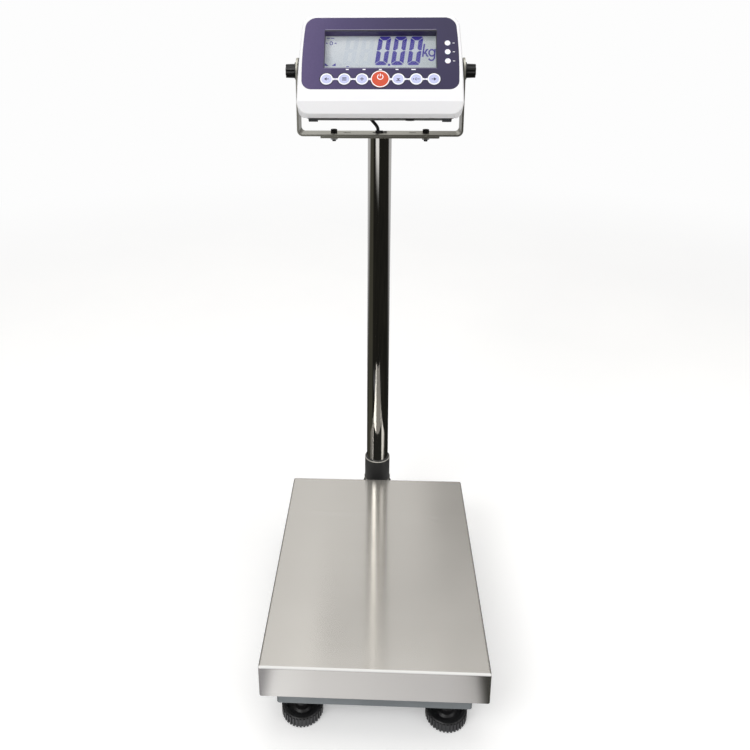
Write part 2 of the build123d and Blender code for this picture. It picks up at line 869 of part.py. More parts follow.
lamp_back_depth = 9.0
save_stacks(
    "lamp_lenses",
    face,
    lamp_spots,
    [
        (-panel_t, 1.5, lamp_r, 0),
        (-lamp_back_depth, lamp_back_depth - panel_t, 2.5, 0),
    ],
)

# ---------------------------------------------------------------------------
# keys and circuit boards
# ---------------------------------------------------------------------------
cap_depth = 0.6  # underside of the caps
stem_depth = 8.0


def save_key(name, spot, cap_r, cap_t):
    """Key made of a cap, a stem and a retaining collar."""
    save_stacks(
        name,
        face,
        [spot],
        [
            (-cap_depth, cap_t, cap_r, 0),
            (-stem_depth, stem_depth - cap_depth, stem_r, 0),
            (-5.6, 1.8, 6.6, 0),
        ],
    )


for number, spot in enumerate(small_keys, start=1):
    save_key(f"key_{number}", spot, key_r, cap_t=1.1)
save_key("power_key", power_spot, power_r, cap_t=1.3)

switch_h = 2.0
with BuildPart() as key_switches:
    with BuildSketch(face.offset(-key_board_depth)):
        with Locations(*small_keys, power_spot):
            Rectangle(6, 6)
    extrude(amount=switch_h)
    with BuildSketch(face.offset(-key_board_depth + switch_h)):
        with Locations(*small_keys, power_spot):
            Circle(1.75)
    extrude(amount=0.8)
save(key_switches, "key_switches")

with BuildPart() as key_board:
    with BuildSketch(face.offset(-key_board_depth - board_t)):
        with Locations((0, 43)):
            Rectangle(190, 24)
    extrude(amount=board_t)
save(key_board, "key_board")

main_board_back = main_board_depth + board_t
tall_part_h = 8.4
low_part_h = 2.4
with BuildPart() as main_board:
    with BuildSketch(face.offset(-main_board_back)):
        with Locations((0, 93)):
            Rectangle(196, 70)
    extrude(amount=board_t)
    # tall and low components on the back of the board
    with BuildSketch(face.offset(-main_board_back - tall_part_h)):
        with Locations((-66, 112), (40, 116)):
            Rectangle(26, 16)
        with Locations((-30, 118)):
            Circle(6)
        with Locations((66, 78)):
            Rectangle(22, 14)
    extrude(amount=tall_part_h)
    with BuildSketch(face.offset(-main_board_back - low_part_h)):
        with Locations((0, 80), (-50, 80)):
            Rectangle(14, 14)
    extrude(amount=low_part_h)
save(main_board, "main_board")

# ---------------------------------------------------------------------------
# rear shell
# ---------------------------------------------------------------------------
rear_low = -7.6  # lower edge at the split
knee_low = 2.5  # lower edge at the knee, where the walls turn in
knee_depth = 54.0

# outlines from the split to the back
rear_rim = shell_outline(rear_low, 153.4, 122.4, 118.0, 15, 17, 2.0)
rear_knee = shell_outline(knee_low, 144.0, 113.0, 110.0, 14, 16, 1.0)
rear_back = shell_outline(8.5, back_top_up, 100.0, 98.0, 12, 14, 0.6)
rim_inside = shell_outline(-5.1, 150.9, 119.9, 115.5, 13, 15, 2.0)
knee_inside = shell_outline(5.0, 141.5, 110.5, 107.5, 12, 14, 1.0)
back_inside = shell_outline(10.5, 131.5, 98.0, 96.0, 10, 12, 0.6)

# middle of the sloping lower wall between rim and knee, z pointing out of it
wall_run = Vector(0, knee_low - rear_low, rear_depth - knee_depth).normalized()
wall_out = (face.y_dir * wall_run.Z + face.z_dir * -wall_run.Y).normalized()
lower_wall = Plane(
    origin=face.from_local_coords(
        (0, (rear_low + knee_low) / 2, -(rear_depth + knee_depth) / 2)
    ),
    x_dir=(1, 0, 0),
    z_dir=wall_out,
)
charge_spot = (46, 0)
boss_x = 124.9  # outer face of the pivot bosses

# space inside the rear shell, less the screw posts and the insert posts
with BuildPart() as rear_hollow:
    for depth, outline in (
        (split_depth + 0.7, rim_inside),
        (53.2, knee_inside),
        (back_depth - shell_t, back_inside),
    ):
        with BuildSketch(face.offset(-depth)):
            add(outline)
    loft(ruled=True)
    with BuildSketch(face.offset(-back_depth)):
        with Locations(*screw_spots):
            Circle(5.0)
    extrude(amount=60, mode=Mode.SUBTRACT)
    for side in (-1, 1):
        with BuildSketch(pivot_plane(106.0, side)):
            Circle(8.9)
        extrude(amount=30, mode=Mode.SUBTRACT)

with BuildPart() as rear_housing:
    for depth, outline in (
        (rear_depth, rear_rim),
        (knee_depth, rear_knee),
        (back_depth, rear_back),
    ):
        with BuildSketch(face.offset(-depth)):
            add(outline)
    loft(ruled=True)
    # pivot bosses on the flanks, reaching the friction washers
    with BuildSketch(pivot_plane(-boss_x)):
        Circle(12)
    extrude(amount=2 * boss_x)
    # trim the bosses off in front of the rim
    with BuildSketch(face.offset(-rear_depth)):
        Rectangle(400, 400)
    extrude(amount=30, mode=Mode.SUBTRACT)
    add(rear_hollow.part, mode=Mode.SUBTRACT)
    # sockets for the threaded inserts
    for side in (-1, 1):
        with BuildSketch(pivot_plane(109.0, side)):
            Circle(5.85)
        extrude(amount=17, mode=Mode.SUBTRACT)
    # bores in the screw posts, wide for the heads and narrow for the shanks
    with BuildSketch(face.offset(-back_depth - 1)):
        with Locations(*screw_spots):
            Circle(3.4)
    extrude(amount=back_depth + 1 - screw_seat_depth, mode=Mode.SUBTRACT)
    with BuildSketch(face.offset(-screw_seat_depth - 1)):
        with Locations(*screw_spots):
            Circle(1.8)
    extrude(amount=20, mode=Mode.SUBTRACT)
    # battery opening with a ledge
    with BuildSketch(face.offset(-back_depth - 1)):
        with Locations(battery_spot):
            RectangleRounded(118.4, 70.4, 4)
    extrude(amount=1 + 1.4, mode=Mode.SUBTRACT)
    with BuildSketch(face.offset(-back_depth - 1)):
        with Locations(battery_spot):
            RectangleRounded(108, 60, 3)
    extrude(amount=1 + shell_t + 1, mode=Mode.SUBTRACT)
    # cable exit low in the back wall
    with BuildSketch(face.offset(-back_depth - 1)):
        with Locations(cable_exit_spot):
            Circle(4.05)
    extrude(amount=shell_t + 2, mode=Mode.SUBTRACT)
    # hole for the charging socket in the sloping lower wall
    with BuildSketch(lower_wall.offset(-12)):
        with Locations(charge_spot):
            Circle(5.05)
    extrude(amount=20, mode=Mode.SUBTRACT)
    # two moulded standing lugs under the shell
    with BuildSketch(face.offset(-44)):
        with Locations((-102, -1.5), (102, -1.5)):
            Rectangle(14, 7)
    extrude(amount=9)
save(rear_housing, "rear_housing")

with BuildPart() as housing_gasket:
    with BuildSketch(face.offset(-rear_depth)):
        add(rear_rim)
        add(rim_inside, mode=Mode.SUBTRACT)
    extrude(amount=gasket_t)
save(housing_gasket, "housing_gasket")

screw_head_h = 2.4
with BuildPart() as housing_screws:
    with BuildSketch(face.offset(-screw_seat_depth - screw_head_h)):
        with Locations(*screw_spots):
            Circle(3.1)
    extrude(amount=screw_head_h)
    with BuildSketch(face.offset(-screw_seat_depth)):
        with Locations(*screw_spots):
            Circle(1.5)
    extrude(amount=22)
    # cross recess
    with BuildSketch(face.offset(-screw_seat_depth - screw_head_h)):
        with Locations(*screw_spots):
            Rectangle(3.4, 0.9)
            Rectangle(0.9, 3.4)
    extrude(amount=1.2, mode=Mode.SUBTRACT)
save(housing_screws, "housing_screws")

# ---------------------------------------------------------------------------
# battery, cable bushing and charging socket
# ---------------------------------------------------------------------------
with BuildPart() as battery:
    with BuildSketch(face.offset(-62.0)):
        with Locations(battery_spot):
            Rectangle(97, 52)
    extrude(amount=24)
    fillet(battery.edges(), 1.0)
save(battery, "battery")

door_t = 1.35
with BuildPart() as battery_door:
    with BuildSketch(face.offset(-back_depth)):
        with Locations(battery_spot):
            RectangleRounded(118, 70, 4)
    extrude(amount=door_t)
    # step that fits inside the ledge
    with BuildSketch(face.offset(-back_depth + door_t)):
        with Locations(battery_spot):
            RectangleRounded(107.4, 59.4, 3)
    extrude(amount=1.9)
    # finger catch
    with BuildSketch(face.offset(-back_depth)):
        with Locations((0, 94)):
            SlotOverall(22, 6)
    extrude(amount=0.8, mode=Mode.SUBTRACT)
save(battery_door, "battery_door")

with BuildPart() as cable_bushing:
    # flange, outer sleeve and inner sleeve: (depth, length, radius)
    for depth, length, radius in (
        (back_depth + 2.2, 2.2, 6.5),
        (back_depth + 7.0, 4.8, 4.4),
        (back_depth, shell_t, 4.0),
    ):
        with BuildSketch(face.offset(-depth)):
            with Locations(cable_exit_spot):
                Circle(radius)
        extrude(amount=length)
    # cable bore
    with BuildSketch(face.offset(-back_depth - 8)):
        with Locations(cable_exit_spot):
            Circle(2.65)
    extrude(amount=12, mode=Mode.SUBTRACT)
save(cable_bushing, "cable_bushing")

with BuildPart() as charge_socket:
    with BuildSketch(lower_wall.offset(0.2)):
        with Locations(charge_spot):
            Circle(7.0)
    extrude(amount=1.4)
    with BuildSketch(lower_wall.offset(-10)):
        with Locations(charge_spot):
            Circle(5.0)
    extrude(amount=10.2)
    # plug recess round a centre pin
    with BuildSketch(lower_wall.offset(-7)):
        with Locations(charge_spot):
            Circle(3.2)
            Circle(1.0, mode=Mode.SUBTRACT)
    extrude(amount=8.6, mode=Mode.SUBTRACT)
save(charge_socket, "charge_socket")

# ---------------------------------------------------------------------------
# tilt pivot
# ---------------------------------------------------------------------------


def save_ring_pair(name, start_x, outer_r, bore_r, length):
    """One ring on each side of the pivot, running outwards from start_x."""
    with BuildPart() as rings:
        for side in (-1, 1):
            with BuildSketch(pivot_plane(start_x, side)):
                Circle(outer_r)
                Circle(bore_r, mode=Mode.SUBTRACT)
            extrude(amount=length)
    save(rings, name)


save_ring_pair("pivot_inserts", 109.2, 5.8, bolt_hole_r, 15.7)
save_ring_pair("pivot_washers", boss_x + 0.05, 11, 4.3, 2.0)

# tilt knobs: moulded grip on a steel stud
knob_flange_r = 13.2
knob_flange_t = 2.6
knob_body_r = 11.0
knob_tip_x = 146.6
knob_stud_x = 111.5  # inner end of the stud

for side, side_name in ((-1, "left"), (1, "right")):
    with BuildPart() as tilt_knob:
        with BuildSketch(pivot_plane(bracket_x + 0.05, side)):
            Circle(knob_flange_r)
        extrude(amount=knob_flange_t)
        # tapered grip with eight finger grooves
        with BuildSketch(pivot_plane(bracket_x + knob_flange_t, side)):
            Circle(knob_body_r)
            with PolarLocations(knob_body_r + 1.0, 8):
                Circle(2.6, mode=Mode.SUBTRACT)
        extrude(amount=knob_tip_x - bracket_x - knob_flange_t, taper=2)
        with BuildSketch(pivot_plane(bracket_x, side)):
            Circle(4.02)
        extrude(amount=12, mode=Mode.SUBTRACT)
    save(tilt_knob, "tilt_knob_" + side_name)

    with BuildPart() as knob_stud:
        with BuildSketch(pivot_plane(knob_stud_x, side)):
            Circle(bolt_r)
        extrude(amount=bracket_x + 11.9 - knob_stud_x)
    save(knob_stud, "knob_stud_" + side_name)

# ---------------------------------------------------------------------------
# cables
# ---------------------------------------------------------------------------
hang_x = -3.0  # where the indicator cable drops through the bracket slot
exit_in = face.from_local_coords((cable_exit_x, cable_exit_up, -58.0))
exit_out = face.from_local_coords((cable_exit_x, cable_exit_up, -74.0))
hang_top = (hang_x, pole_y, bracket_floor_z + 4.5)

with BuildPart() as indicator_cable:
    with BuildLine() as indicator_path:
        Line(exit_in, exit_out)
        Spline(exit_out, hang_top, tangents=[face.z_dir * -1, (0, 0, -1)])
        Line(hang_top, (hang_x, pole_y, 706.0))
    with BuildSketch(Plane(origin=exit_in, z_dir=face.z_dir * -1)):
        Circle(2.6)
    sweep(path=indicator_path.line)
save(indicator_cable, "indicator_cable")

# from the load cell down to the rear rail, then back and up inside the pole
column_cable_start = (0, base_y + cell_l / 2 - 7.5, cell_cable_z)
with BuildPart() as column_cable:
    with BuildLine() as column_path:
        FilletPolyline(
            column_cable_start,
            (0, base_y + 90, cell_cable_z),
            (0, base_y + 114, cable_z),
            (0, pole_y, cable_z),
            (0, pole_y, 700),
            radius=11,
        )
    with BuildSketch(Plane(origin=column_cable_start, z_dir=(0, 1, 0))):
        Circle(2.4)
    sweep(path=column_path.line)
save(column_cable, "column_cable")

# tie that stops the cable sliding down through the slot
with BuildPart() as cable_tie:
    with BuildSketch(Plane((hang_x, pole_y, bracket_floor_z + 0.1))):
        Circle(4.3)
        Circle(2.75, mode=Mode.SUBTRACT)
        with Locations((5.6, 0)):
            Rectangle(4.6, 4.4)
    extrude(amount=3.2)
    # loose tail
    with BuildSketch(Plane((hang_x, pole_y, bracket_floor_z + 1.1))):
        with Locations((11.0, 0)):
            Rectangle(7.0, 2.4)
    extrude(amount=1.1)
save(cable_tie, "cable_tie")
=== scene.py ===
"""Column scale for weighing animals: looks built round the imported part.

Metres, +Z up, -Y is the user's side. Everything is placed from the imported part's own boxes.
"""

import bmesh
import bpy
import math
import random
from mathutils import Matrix, Vector


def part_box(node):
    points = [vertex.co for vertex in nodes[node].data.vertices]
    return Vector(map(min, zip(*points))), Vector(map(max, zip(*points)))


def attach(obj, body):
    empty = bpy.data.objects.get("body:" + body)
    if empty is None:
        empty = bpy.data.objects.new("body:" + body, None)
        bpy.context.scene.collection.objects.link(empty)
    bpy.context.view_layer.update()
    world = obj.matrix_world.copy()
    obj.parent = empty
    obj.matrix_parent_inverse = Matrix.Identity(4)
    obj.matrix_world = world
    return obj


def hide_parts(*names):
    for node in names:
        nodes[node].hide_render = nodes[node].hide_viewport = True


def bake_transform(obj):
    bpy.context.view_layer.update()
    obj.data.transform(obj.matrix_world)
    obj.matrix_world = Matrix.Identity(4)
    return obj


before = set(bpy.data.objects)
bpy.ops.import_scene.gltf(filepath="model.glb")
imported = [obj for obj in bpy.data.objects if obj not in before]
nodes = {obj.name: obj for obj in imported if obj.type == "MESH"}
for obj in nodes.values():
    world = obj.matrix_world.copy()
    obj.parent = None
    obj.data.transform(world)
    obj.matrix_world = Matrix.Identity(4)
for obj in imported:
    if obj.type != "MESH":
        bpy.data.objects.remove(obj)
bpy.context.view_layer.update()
random.seed(41)
MM = 0.001

# ---------------------------------------------------------------------------
# places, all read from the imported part
# ---------------------------------------------------------------------------
platter_lo, platter_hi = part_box("platter")
pole_lo, pole_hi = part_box("pole")
bracket_lo, bracket_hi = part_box("bracket")
deck_y = (platter_lo.y + platter_hi.y) / 2  # platter centre
pole_y = (pole_lo.y + pole_hi.y) / 2
TILT = math.radians(35.0)
FACE_O = Vector((0.0, deck_y + 163 * MM, 791 * MM))
S_DIR = Vector((0.0, math.sin(TILT), math.cos(TILT)))
N_DIR = Vector((0.0, -math.cos(TILT), math.sin(TILT)))
PIVOT = Vector((0.0, pole_y, 835 * MM))


def on_face(x, s, n=0.0):
    """A point from millimetres across, up and out of the tilted face."""
    return FACE_O + Vector((x * MM, 0, 0)) + S_DIR * (s * MM) + N_DIR * (n * MM)


# ---------------------------------------------------------------------------
# shader graph helper
# ---------------------------------------------------------------------------
def lin(r, g, b):
    """Linear colour from a 0-255 display colour."""
    out = []
    for c in (r, g, b):
        c /= 255.0
        out.append(c / 12.92 if c <= 0.04045 else ((c + 0.055) / 1.055) ** 2.4)
    return (out[0], out[1], out[2], 1.0)


class Graph:
    def __init__(self, name):
        self.m = bpy.data.materials.new(name)
        self.m.use_nodes = True
        self.t = self.m.node_tree
        self.t.nodes.clear()
        self.out = self.node("ShaderNodeOutputMaterial")
        self.p = self.node("ShaderNodeBsdfPrincipled")
        self.t.links.new(self.p.outputs[0], self.out.inputs[0])
        self._object = None
        self._geometry = None

    def node(self, kind, **settings):
        n = self.t.nodes.new(kind)
        for k, v in settings.items():
            setattr(n, k, v)
        return n

    def put(self, socket, value):
        if value is None:
            return
        if hasattr(value, "links"):
            self.t.links.new(value, socket)
        else:
            socket.default_value = value

    def set(self, **values):
        """Principled inputs by name, with underscores for spaces."""
        for k, v in values.items():
            self.put(self.p.inputs[k.replace("_", " ")], v)

    @property
    def xyz(self):
        if self._object is None:
            self._object = self.node("ShaderNodeTexCoord").outputs["Object"]
        return self._object

    @property
    def geo(self):
        if self._geometry is None:
            self._geometry = self.node("ShaderNodeNewGeometry")
        return self._geometry

    def math(self, op, a, b=0.5, c=0.0, clamp=False):
        n = self.node("ShaderNodeMath", operation=op, use_clamp=clamp)
        self.put(n.inputs[0], a)
        self.put(n.inputs[1], b)
        self.put(n.inputs[2], c)
        return n.outputs[0]

    def vmath(self, op, a, b=(0, 0, 0)):
        n = self.node("ShaderNodeVectorMath", operation=op)
        self.put(n.inputs[0], a)
        self.put(n.inputs[1], b)
        return n.outputs["Value"] if op in ("DOT_PRODUCT", "LENGTH", "DISTANCE") else n.outputs[0]

    def scale(self, v, x, y, z):
        return self.vmath("MULTIPLY", v, (x, y, z))

    def split(self, v):
        n = self.node("ShaderNodeSeparateXYZ")
        self.put(n.inputs[0], v)
        return n.outputs[0], n.outputs[1], n.outputs[2]

    def join(self, x, y, z):
        n = self.node("ShaderNodeCombineXYZ")
        for i, v in enumerate((x, y, z)):
            self.put(n.inputs[i], v)
        return n.outputs[0]

    def mix(self, fac, a, b, mode="MIX"):
        n = self.node("ShaderNodeMix", data_type="RGBA", blend_type=mode)
        self.put(n.inputs[0], fac)
        self.put(n.inputs[6], a)
        self.put(n.inputs[7], b)
        return n.outputs[2]

    def lerp(self, fac, a, b):
        n = self.node("ShaderNodeMix", data_type="FLOAT")
        self.put(n.inputs[0], fac)
        self.put(n.inputs[2], a)
        self.put(n.inputs[3], b)
        return n.outputs[0]

    def vlerp(self, fac, a, b):
        n = self.node("ShaderNodeMix", data_type="VECTOR")
        self.put(n.inputs[0], fac)
        self.put(n.inputs[4], a)
        self.put(n.inputs[5], b)
        return n.outputs[1]

    def noise(self, scale, detail=2.0, rough=0.5, distortion=0.0, vec=None):
        n = self.node("ShaderNodeTexNoise")
        self.put(n.inputs["Vector"], self.xyz if vec is None else vec)
        n.inputs["Scale"].default_value = scale
        n.inputs["Detail"].default_value = detail
        n.inputs["Roughness"].default_value = rough
        n.inputs["Distortion"].default_value = distortion
        return n.outputs[0]

    def cells(self, scale, feature="F1", vec=None, out="Distance"):
        n = self.node("ShaderNodeTexVoronoi", feature=feature)
        self.put(n.inputs["Vector"], self.xyz if vec is None else vec)
        n.inputs["Scale"].default_value = scale
        return n.outputs[out]

    def ramp(self, fac, *stops):
        """Colour ramp from (place, colour or grey) pairs."""
        n = self.node("ShaderNodeValToRGB")
        self.put(n.inputs[0], fac)
        e = n.color_ramp.elements
        while len(e) < len(stops):
            e.new(0.5)
        for i, (place, c) in enumerate(stops):
            e[i].position = place
            e[i].color = c if isinstance(c, tuple) else (c, c, c, 1.0)
        return n.outputs[0]

    def span(self, v, a, b, c=0.0, d=1.0, smooth=False):
        n = self.node("ShaderNodeMapRange", interpolation_type="SMOOTHSTEP" if smooth else "LINEAR")
        self.put(n.inputs[0], v)
        for i, x in enumerate((a, b, c, d)):
            self.put(n.inputs[i + 1], x)
        return n.outputs[0]

    def bump(self, height, distance, strength=1.0, normal=None):
        n = self.node("ShaderNodeBump")
        self.put(n.inputs["Height"], height)
        self.put(n.inputs["Distance"], distance)
        self.put(n.inputs["Strength"], strength)
        self.put(n.inputs["Normal"], normal)
        return n.outputs[0]

    def soft_edge(self, radius, samples=4):
        n = self.node("ShaderNodeBevel", samples=samples)
        n.inputs["Radius"].default_value = radius
        return n.outputs[0]

    def edge_mask(self, radius, low=0.02, high=0.25):
        """1 on convex and concave edges, 0 on open faces."""
        d = self.vmath("DOT_PRODUCT", self.soft_edge(radius), self.geo.outputs["True Normal"])
        return self.span(self.math("SUBTRACT", 1.0, d), low, high, smooth=True)


# ---------------------------------------------------------------------------
# materials, one per material slot of the imported part
# ---------------------------------------------------------------------------
def brushed(name, colour, tint, rough, lines, aniso, depth, along_y=True, edge_rub_and_glint=0.0, streak=0.10, bend=0.0004):
    """Brushed or ground steel. The grain runs along X, and along Y on faces that look sideways.
    Highlights spread across the grain."""
    g = Graph(name)
    nx, ny, nz = g.split(g.geo.outputs["True Normal"])
    side = g.span(g.math("ABSOLUTE", nx), 0.6, 0.8) if along_y else 0.0
    u = g.scale(g.xyz, 6, lines, lines)
    v = g.scale(g.xyz, lines, 6, lines)
    grain_at = g.vlerp(side, u, v) if along_y else u
    fine = g.noise(1.0, 3.0, 0.62, vec=grain_at)
    broad_u = g.scale(g.xyz, 1.6, lines * 0.16, lines * 0.16)
    broad_v = g.scale(g.xyz, lines * 0.16, 1.6, lines * 0.16)
    broad = g.noise(1.0, 2.0, 0.5, vec=g.vlerp(side, broad_u, broad_v) if along_y else broad_u)
    cloud = g.noise(5.0, 2.0, 0.5)
    shade = g.math("ADD", g.math("MULTIPLY", fine, 0.55), g.math("MULTIPLY", broad, 0.45))
    colour_mix = g.mix(g.span(shade, 0.30, 0.70), tint, colour)
    colour_mix = g.mix(g.span(cloud, 0.3, 0.7, 0.0, 0.35), colour_mix, colour)
    r = g.math("ADD", rough - streak * 0.5, g.math("MULTIPLY", shade, streak))
    r = g.math("ADD", r, g.span(cloud, 0.3, 0.7, -0.02, 0.03))
    scratch = g.noise(1.0, 1.0, 0.4, 0.6, vec=g.scale(g.xyz, 40, 260, 260))
    hair = g.span(scratch, 0.70, 0.74, smooth=True)
    r = g.math("ADD", r, g.math("MULTIPLY", hair, streak * 0.2))
    if edge_rub_and_glint:
        # edges: rougher where rubbed, and painted paler as a painted highlight
        e = g.edge_mask(0.0009)
        colour_mix = g.mix(g.math("MULTIPLY", e, edge_rub_and_glint), colour_mix, (0.86, 0.85, 0.83, 1))
        r = g.lerp(g.math("MULTIPLY", e, edge_rub_and_glint), r, 0.55)
    height = g.math("ADD", g.math("MULTIPLY", fine, 0.9), g.math("MULTIPLY", broad, 0.15))
    soft = g.soft_edge(bend)
    g.set(
        Base_Color=colour_mix,
        Metallic=1.0,
        Roughness=r,
        Anisotropic=aniso,
        Tangent=g.vlerp(g.span(g.math("ABSOLUTE", nz), 0.5, 0.8), (0, 0, 1), (0, 1, 0)),
        Normal=g.bump(height, depth, 1.0, soft),
    )
    return g.m


def platter_steel():
    m = brushed(
        "brushed_stainless",
        lin(205, 202, 197),
        lin(200, 197, 191),
        0.23,
        2200.0,
        1.0,
        0.0000025,
        edge_rub_and_glint=0.45,
        streak=0.03,
        bend=0.0018,
    )
    # painted shade: glossy rays that reach the plate near the foot of the column, and along two arms from it, see
    # a painted near-black patch, which the column mirrors
    t = m.node_tree
    out = next(n for n in t.nodes if n.type == "OUTPUT_MATERIAL")
    surface = out.inputs[0].links[0].from_socket

    def op(kind, *values):
        n = t.nodes.new("ShaderNodeMath")
        n.operation = kind
        for i, v in enumerate(values):
            if isinstance(v, (int, float)):
                n.inputs[i].default_value = v
            else:
                t.links.new(v, n.inputs[i])
        return n.outputs[0]

    where = t.nodes.new("ShaderNodeNewGeometry")
    parts = t.nodes.new("ShaderNodeSeparateXYZ")
    t.links.new(where.outputs["Position"], parts.inputs[0])
    path = t.nodes.new("ShaderNodeLightPath")
    across = op("ABSOLUTE", parts.outputs[0])
    reach = op("SUBTRACT", pole_y, parts.outputs[1])
    inside = op("LESS_THAN", across, op("SUBTRACT", reach, 0.010))
    close = op("LESS_THAN", reach, 0.150)
    off = op("ABSOLUTE", op("SUBTRACT", across, op("SUBTRACT", reach, 0.016)))
    arms = op("LESS_THAN", off, 0.009)
    painted_shade_zone = op("MAXIMUM", op("MULTIPLY", inside, close), arms)
    masked = op("MULTIPLY", painted_shade_zone, path.outputs["Is Glossy Ray"])
    # painted highlight: a pale emission painted along the rolled front edge; measured on the plate, so it stays
    # there when lifted
    local = t.nodes.new("ShaderNodeTexCoord")
    spot = t.nodes.new("ShaderNodeSeparateXYZ")
    t.links.new(local.outputs["Generated"], spot.inputs[0])
    size = platter_hi - platter_lo
    back = op("SUBTRACT", op("MULTIPLY", spot.outputs[1], size.y), 0.0012)
    down = op("SUBTRACT", op("MULTIPLY", spot.outputs[2], size.z), size.z)
    away = op("SQRT", op("ADD", op("MULTIPLY", back, back), op("MULTIPLY", down, down)))
    fade = t.nodes.new("ShaderNodeMapRange")
    fade.interpolation_type = "SMOOTHSTEP"
    t.links.new(away, fade.inputs["Value"])
    for key, v in (("From Min", 0.0012), ("From Max", 0.0026), ("To Min", 0.75), ("To Max", 0.0)):
        fade.inputs[key].default_value = v
    # painted highlight: pale emission colour for the front edge
    painted_edge_glow = t.nodes.new("ShaderNodeEmission")
    painted_edge_glow.inputs[0].default_value = (0.95, 0.945, 0.93, 1)
    edge_glow_mix = t.nodes.new("ShaderNodeMixShader")
    t.links.new(fade.outputs["Result"], edge_glow_mix.inputs[0])
    t.links.new(surface, edge_glow_mix.inputs[1])
    t.links.new(painted_edge_glow.outputs[0], edge_glow_mix.inputs[2])
    surface = edge_glow_mix.outputs[0]
    # painted shade: near-black emission for that patch
    painted_dark_patch = t.nodes.new("ShaderNodeEmission")
    painted_dark_patch.inputs[0].default_value = (0.022, 0.022, 0.019, 1)
    mix = t.nodes.new("ShaderNodeMixShader")
    t.links.new(masked, mix.inputs[0])
    t.links.new(surface, mix.inputs[1])
    t.links.new(painted_dark_patch.outputs[0], mix.inputs[2])
    t.links.new(mix.outputs[0], out.inputs[0])
    return m


def polished_steel():
    g = Graph("polished_stainless")
    x, y, z = g.split(g.xyz)
    cloud = g.noise(9.0, 3.0, 0.55)
    smear = g.noise(1.0, 3.0, 0.6, 0.4, vec=g.scale(g.xyz, 60, 60, 9))
    rings = g.noise(1.0, 2.0, 0.5, vec=g.scale(g.xyz, 12, 12, 2600))
    r = g.math("ADD", 0.035, g.span(smear, 0.45, 0.75, 0.0, 0.05))
    r = g.math("ADD", r, g.math("MULTIPLY", rings, 0.02))
    c = g.mix(g.span(cloud, 0.3, 0.7), lin(222, 219, 213), lin(208, 207, 204))
    g.set(
        Base_Color=c,
        Metallic=1.0,
        Roughness=r,
        Anisotropic=0.2,
        Normal=g.bump(g.math("ADD", rings, g.math("MULTIPLY", cloud, 0.6)), 0.000006, 1.0),
    )
    return g.m


def bracket_steel():
    return brushed(
        "satin_steel_strip",
        lin(188, 186, 175),
        lin(160, 158, 148),
        0.34,
        1100.0,
        0.45,
        0.00003,
        edge_rub_and_glint=0.55,
        streak=0.12,
    )


def zinc_steel():
    g = Graph("zinc_plated_steel")
    flow = g.noise(90.0, 3.0, 0.6)
    patches = g.cells(420.0)
    e = g.edge_mask(0.0005)
    c = g.mix(g.span(flow, 0.35, 0.65), lin(196, 199, 204), lin(178, 178, 172))
    c = g.mix(g.math("MULTIPLY", e, 0.5), c, lin(226, 226, 224))
    r = g.math("ADD", 0.24, g.math("MULTIPLY", flow, 0.14))
    g.set(
        Base_Color=c,
        Metallic=1.0,
        Roughness=r,
        Normal=g.bump(g.math("ADD", patches, flow), 0.00002, 0.6, g.soft_edge(0.0004)),
    )
    return g.m


def black_steel():
    g = Graph("black_oxide_steel")
    flow = g.noise(150.0, 3.0, 0.6)
    e = g.edge_mask(0.0004)
    worn = g.math("MULTIPLY", e, g.span(g.noise(500.0, 2.0), 0.4, 0.6))
    c = g.mix(g.span(flow, 0.3, 0.7), lin(30, 30, 32), lin(44, 43, 42))
    c = g.mix(g.math("MULTIPLY", worn, 0.7), c, lin(120, 118, 114))
    g.set(
        Base_Color=c,
        Metallic=0.8,
        Roughness=g.math("ADD", 0.32, g.math("MULTIPLY", flow, 0.16)),
        Normal=g.bump(flow, 0.00002, 0.6, g.soft_edge(0.0004)),
    )
    return g.m


def paint(name, colour, darker, rough, peel, peel_depth, chip, bare=(0.30, 0.30, 0.30, 1), coat=0.15, painted_rim_bands=()):
    """Powder coat: peel in the film, dust in the film, rubbed edges, and painted highlight bands at given heights.
    """
    g = Graph(name)
    skin = g.noise(peel, 2.0, 0.5)
    grain = g.noise(peel * 5.0, 2.0, 0.6)
    cloud = g.noise(14.0, 3.0, 0.6)
    e = g.edge_mask(0.0007)
    worn = g.math("MULTIPLY", e, g.span(g.noise(260.0, 3.0, 0.6), 0.45, 0.62))
    c = g.mix(g.span(cloud, 0.35, 0.65), colour, darker)
    c = g.mix(g.math("MULTIPLY", worn, chip), c, bare)
    # painted highlight: pale bands at the given heights on sloping faces, standing for rims that catch the light
    x, y, z = g.split(g.geo.outputs["Position"])
    nx, ny, nz = g.split(g.geo.outputs["True Normal"])
    for lo, hi in painted_rim_bands:
        band = g.math("MULTIPLY", g.math("GREATER_THAN", z, lo), g.math("LESS_THAN", z, hi))
        slope = g.math("MULTIPLY", g.math("LESS_THAN", nz, 0.95), g.math("GREATER_THAN", nz, -0.2))
        patchy = g.span(g.noise(180.0, 3.0, 0.6), 0.30, 0.55, 0.55, 1.0)
        c = g.mix(g.math("MULTIPLY", g.math("MULTIPLY", band, slope), patchy), c, lin(196, 193, 184))
    r = g.math("ADD", rough - 0.05, g.math("MULTIPLY", grain, 0.12))
    r = g.math("ADD", r, g.span(cloud, 0.3, 0.7, -0.02, 0.04))
    g.set(
        Base_Color=c,
        Metallic=0.0,
        Roughness=r,
        Coat_Weight=coat,
        Coat_Roughness=0.25,
        Normal=g.bump(
            g.math("ADD", skin, g.math("MULTIPLY", grain, 0.25)), peel_depth, 0.8, g.soft_edge(0.0005)
        ),
    )
    return g.m


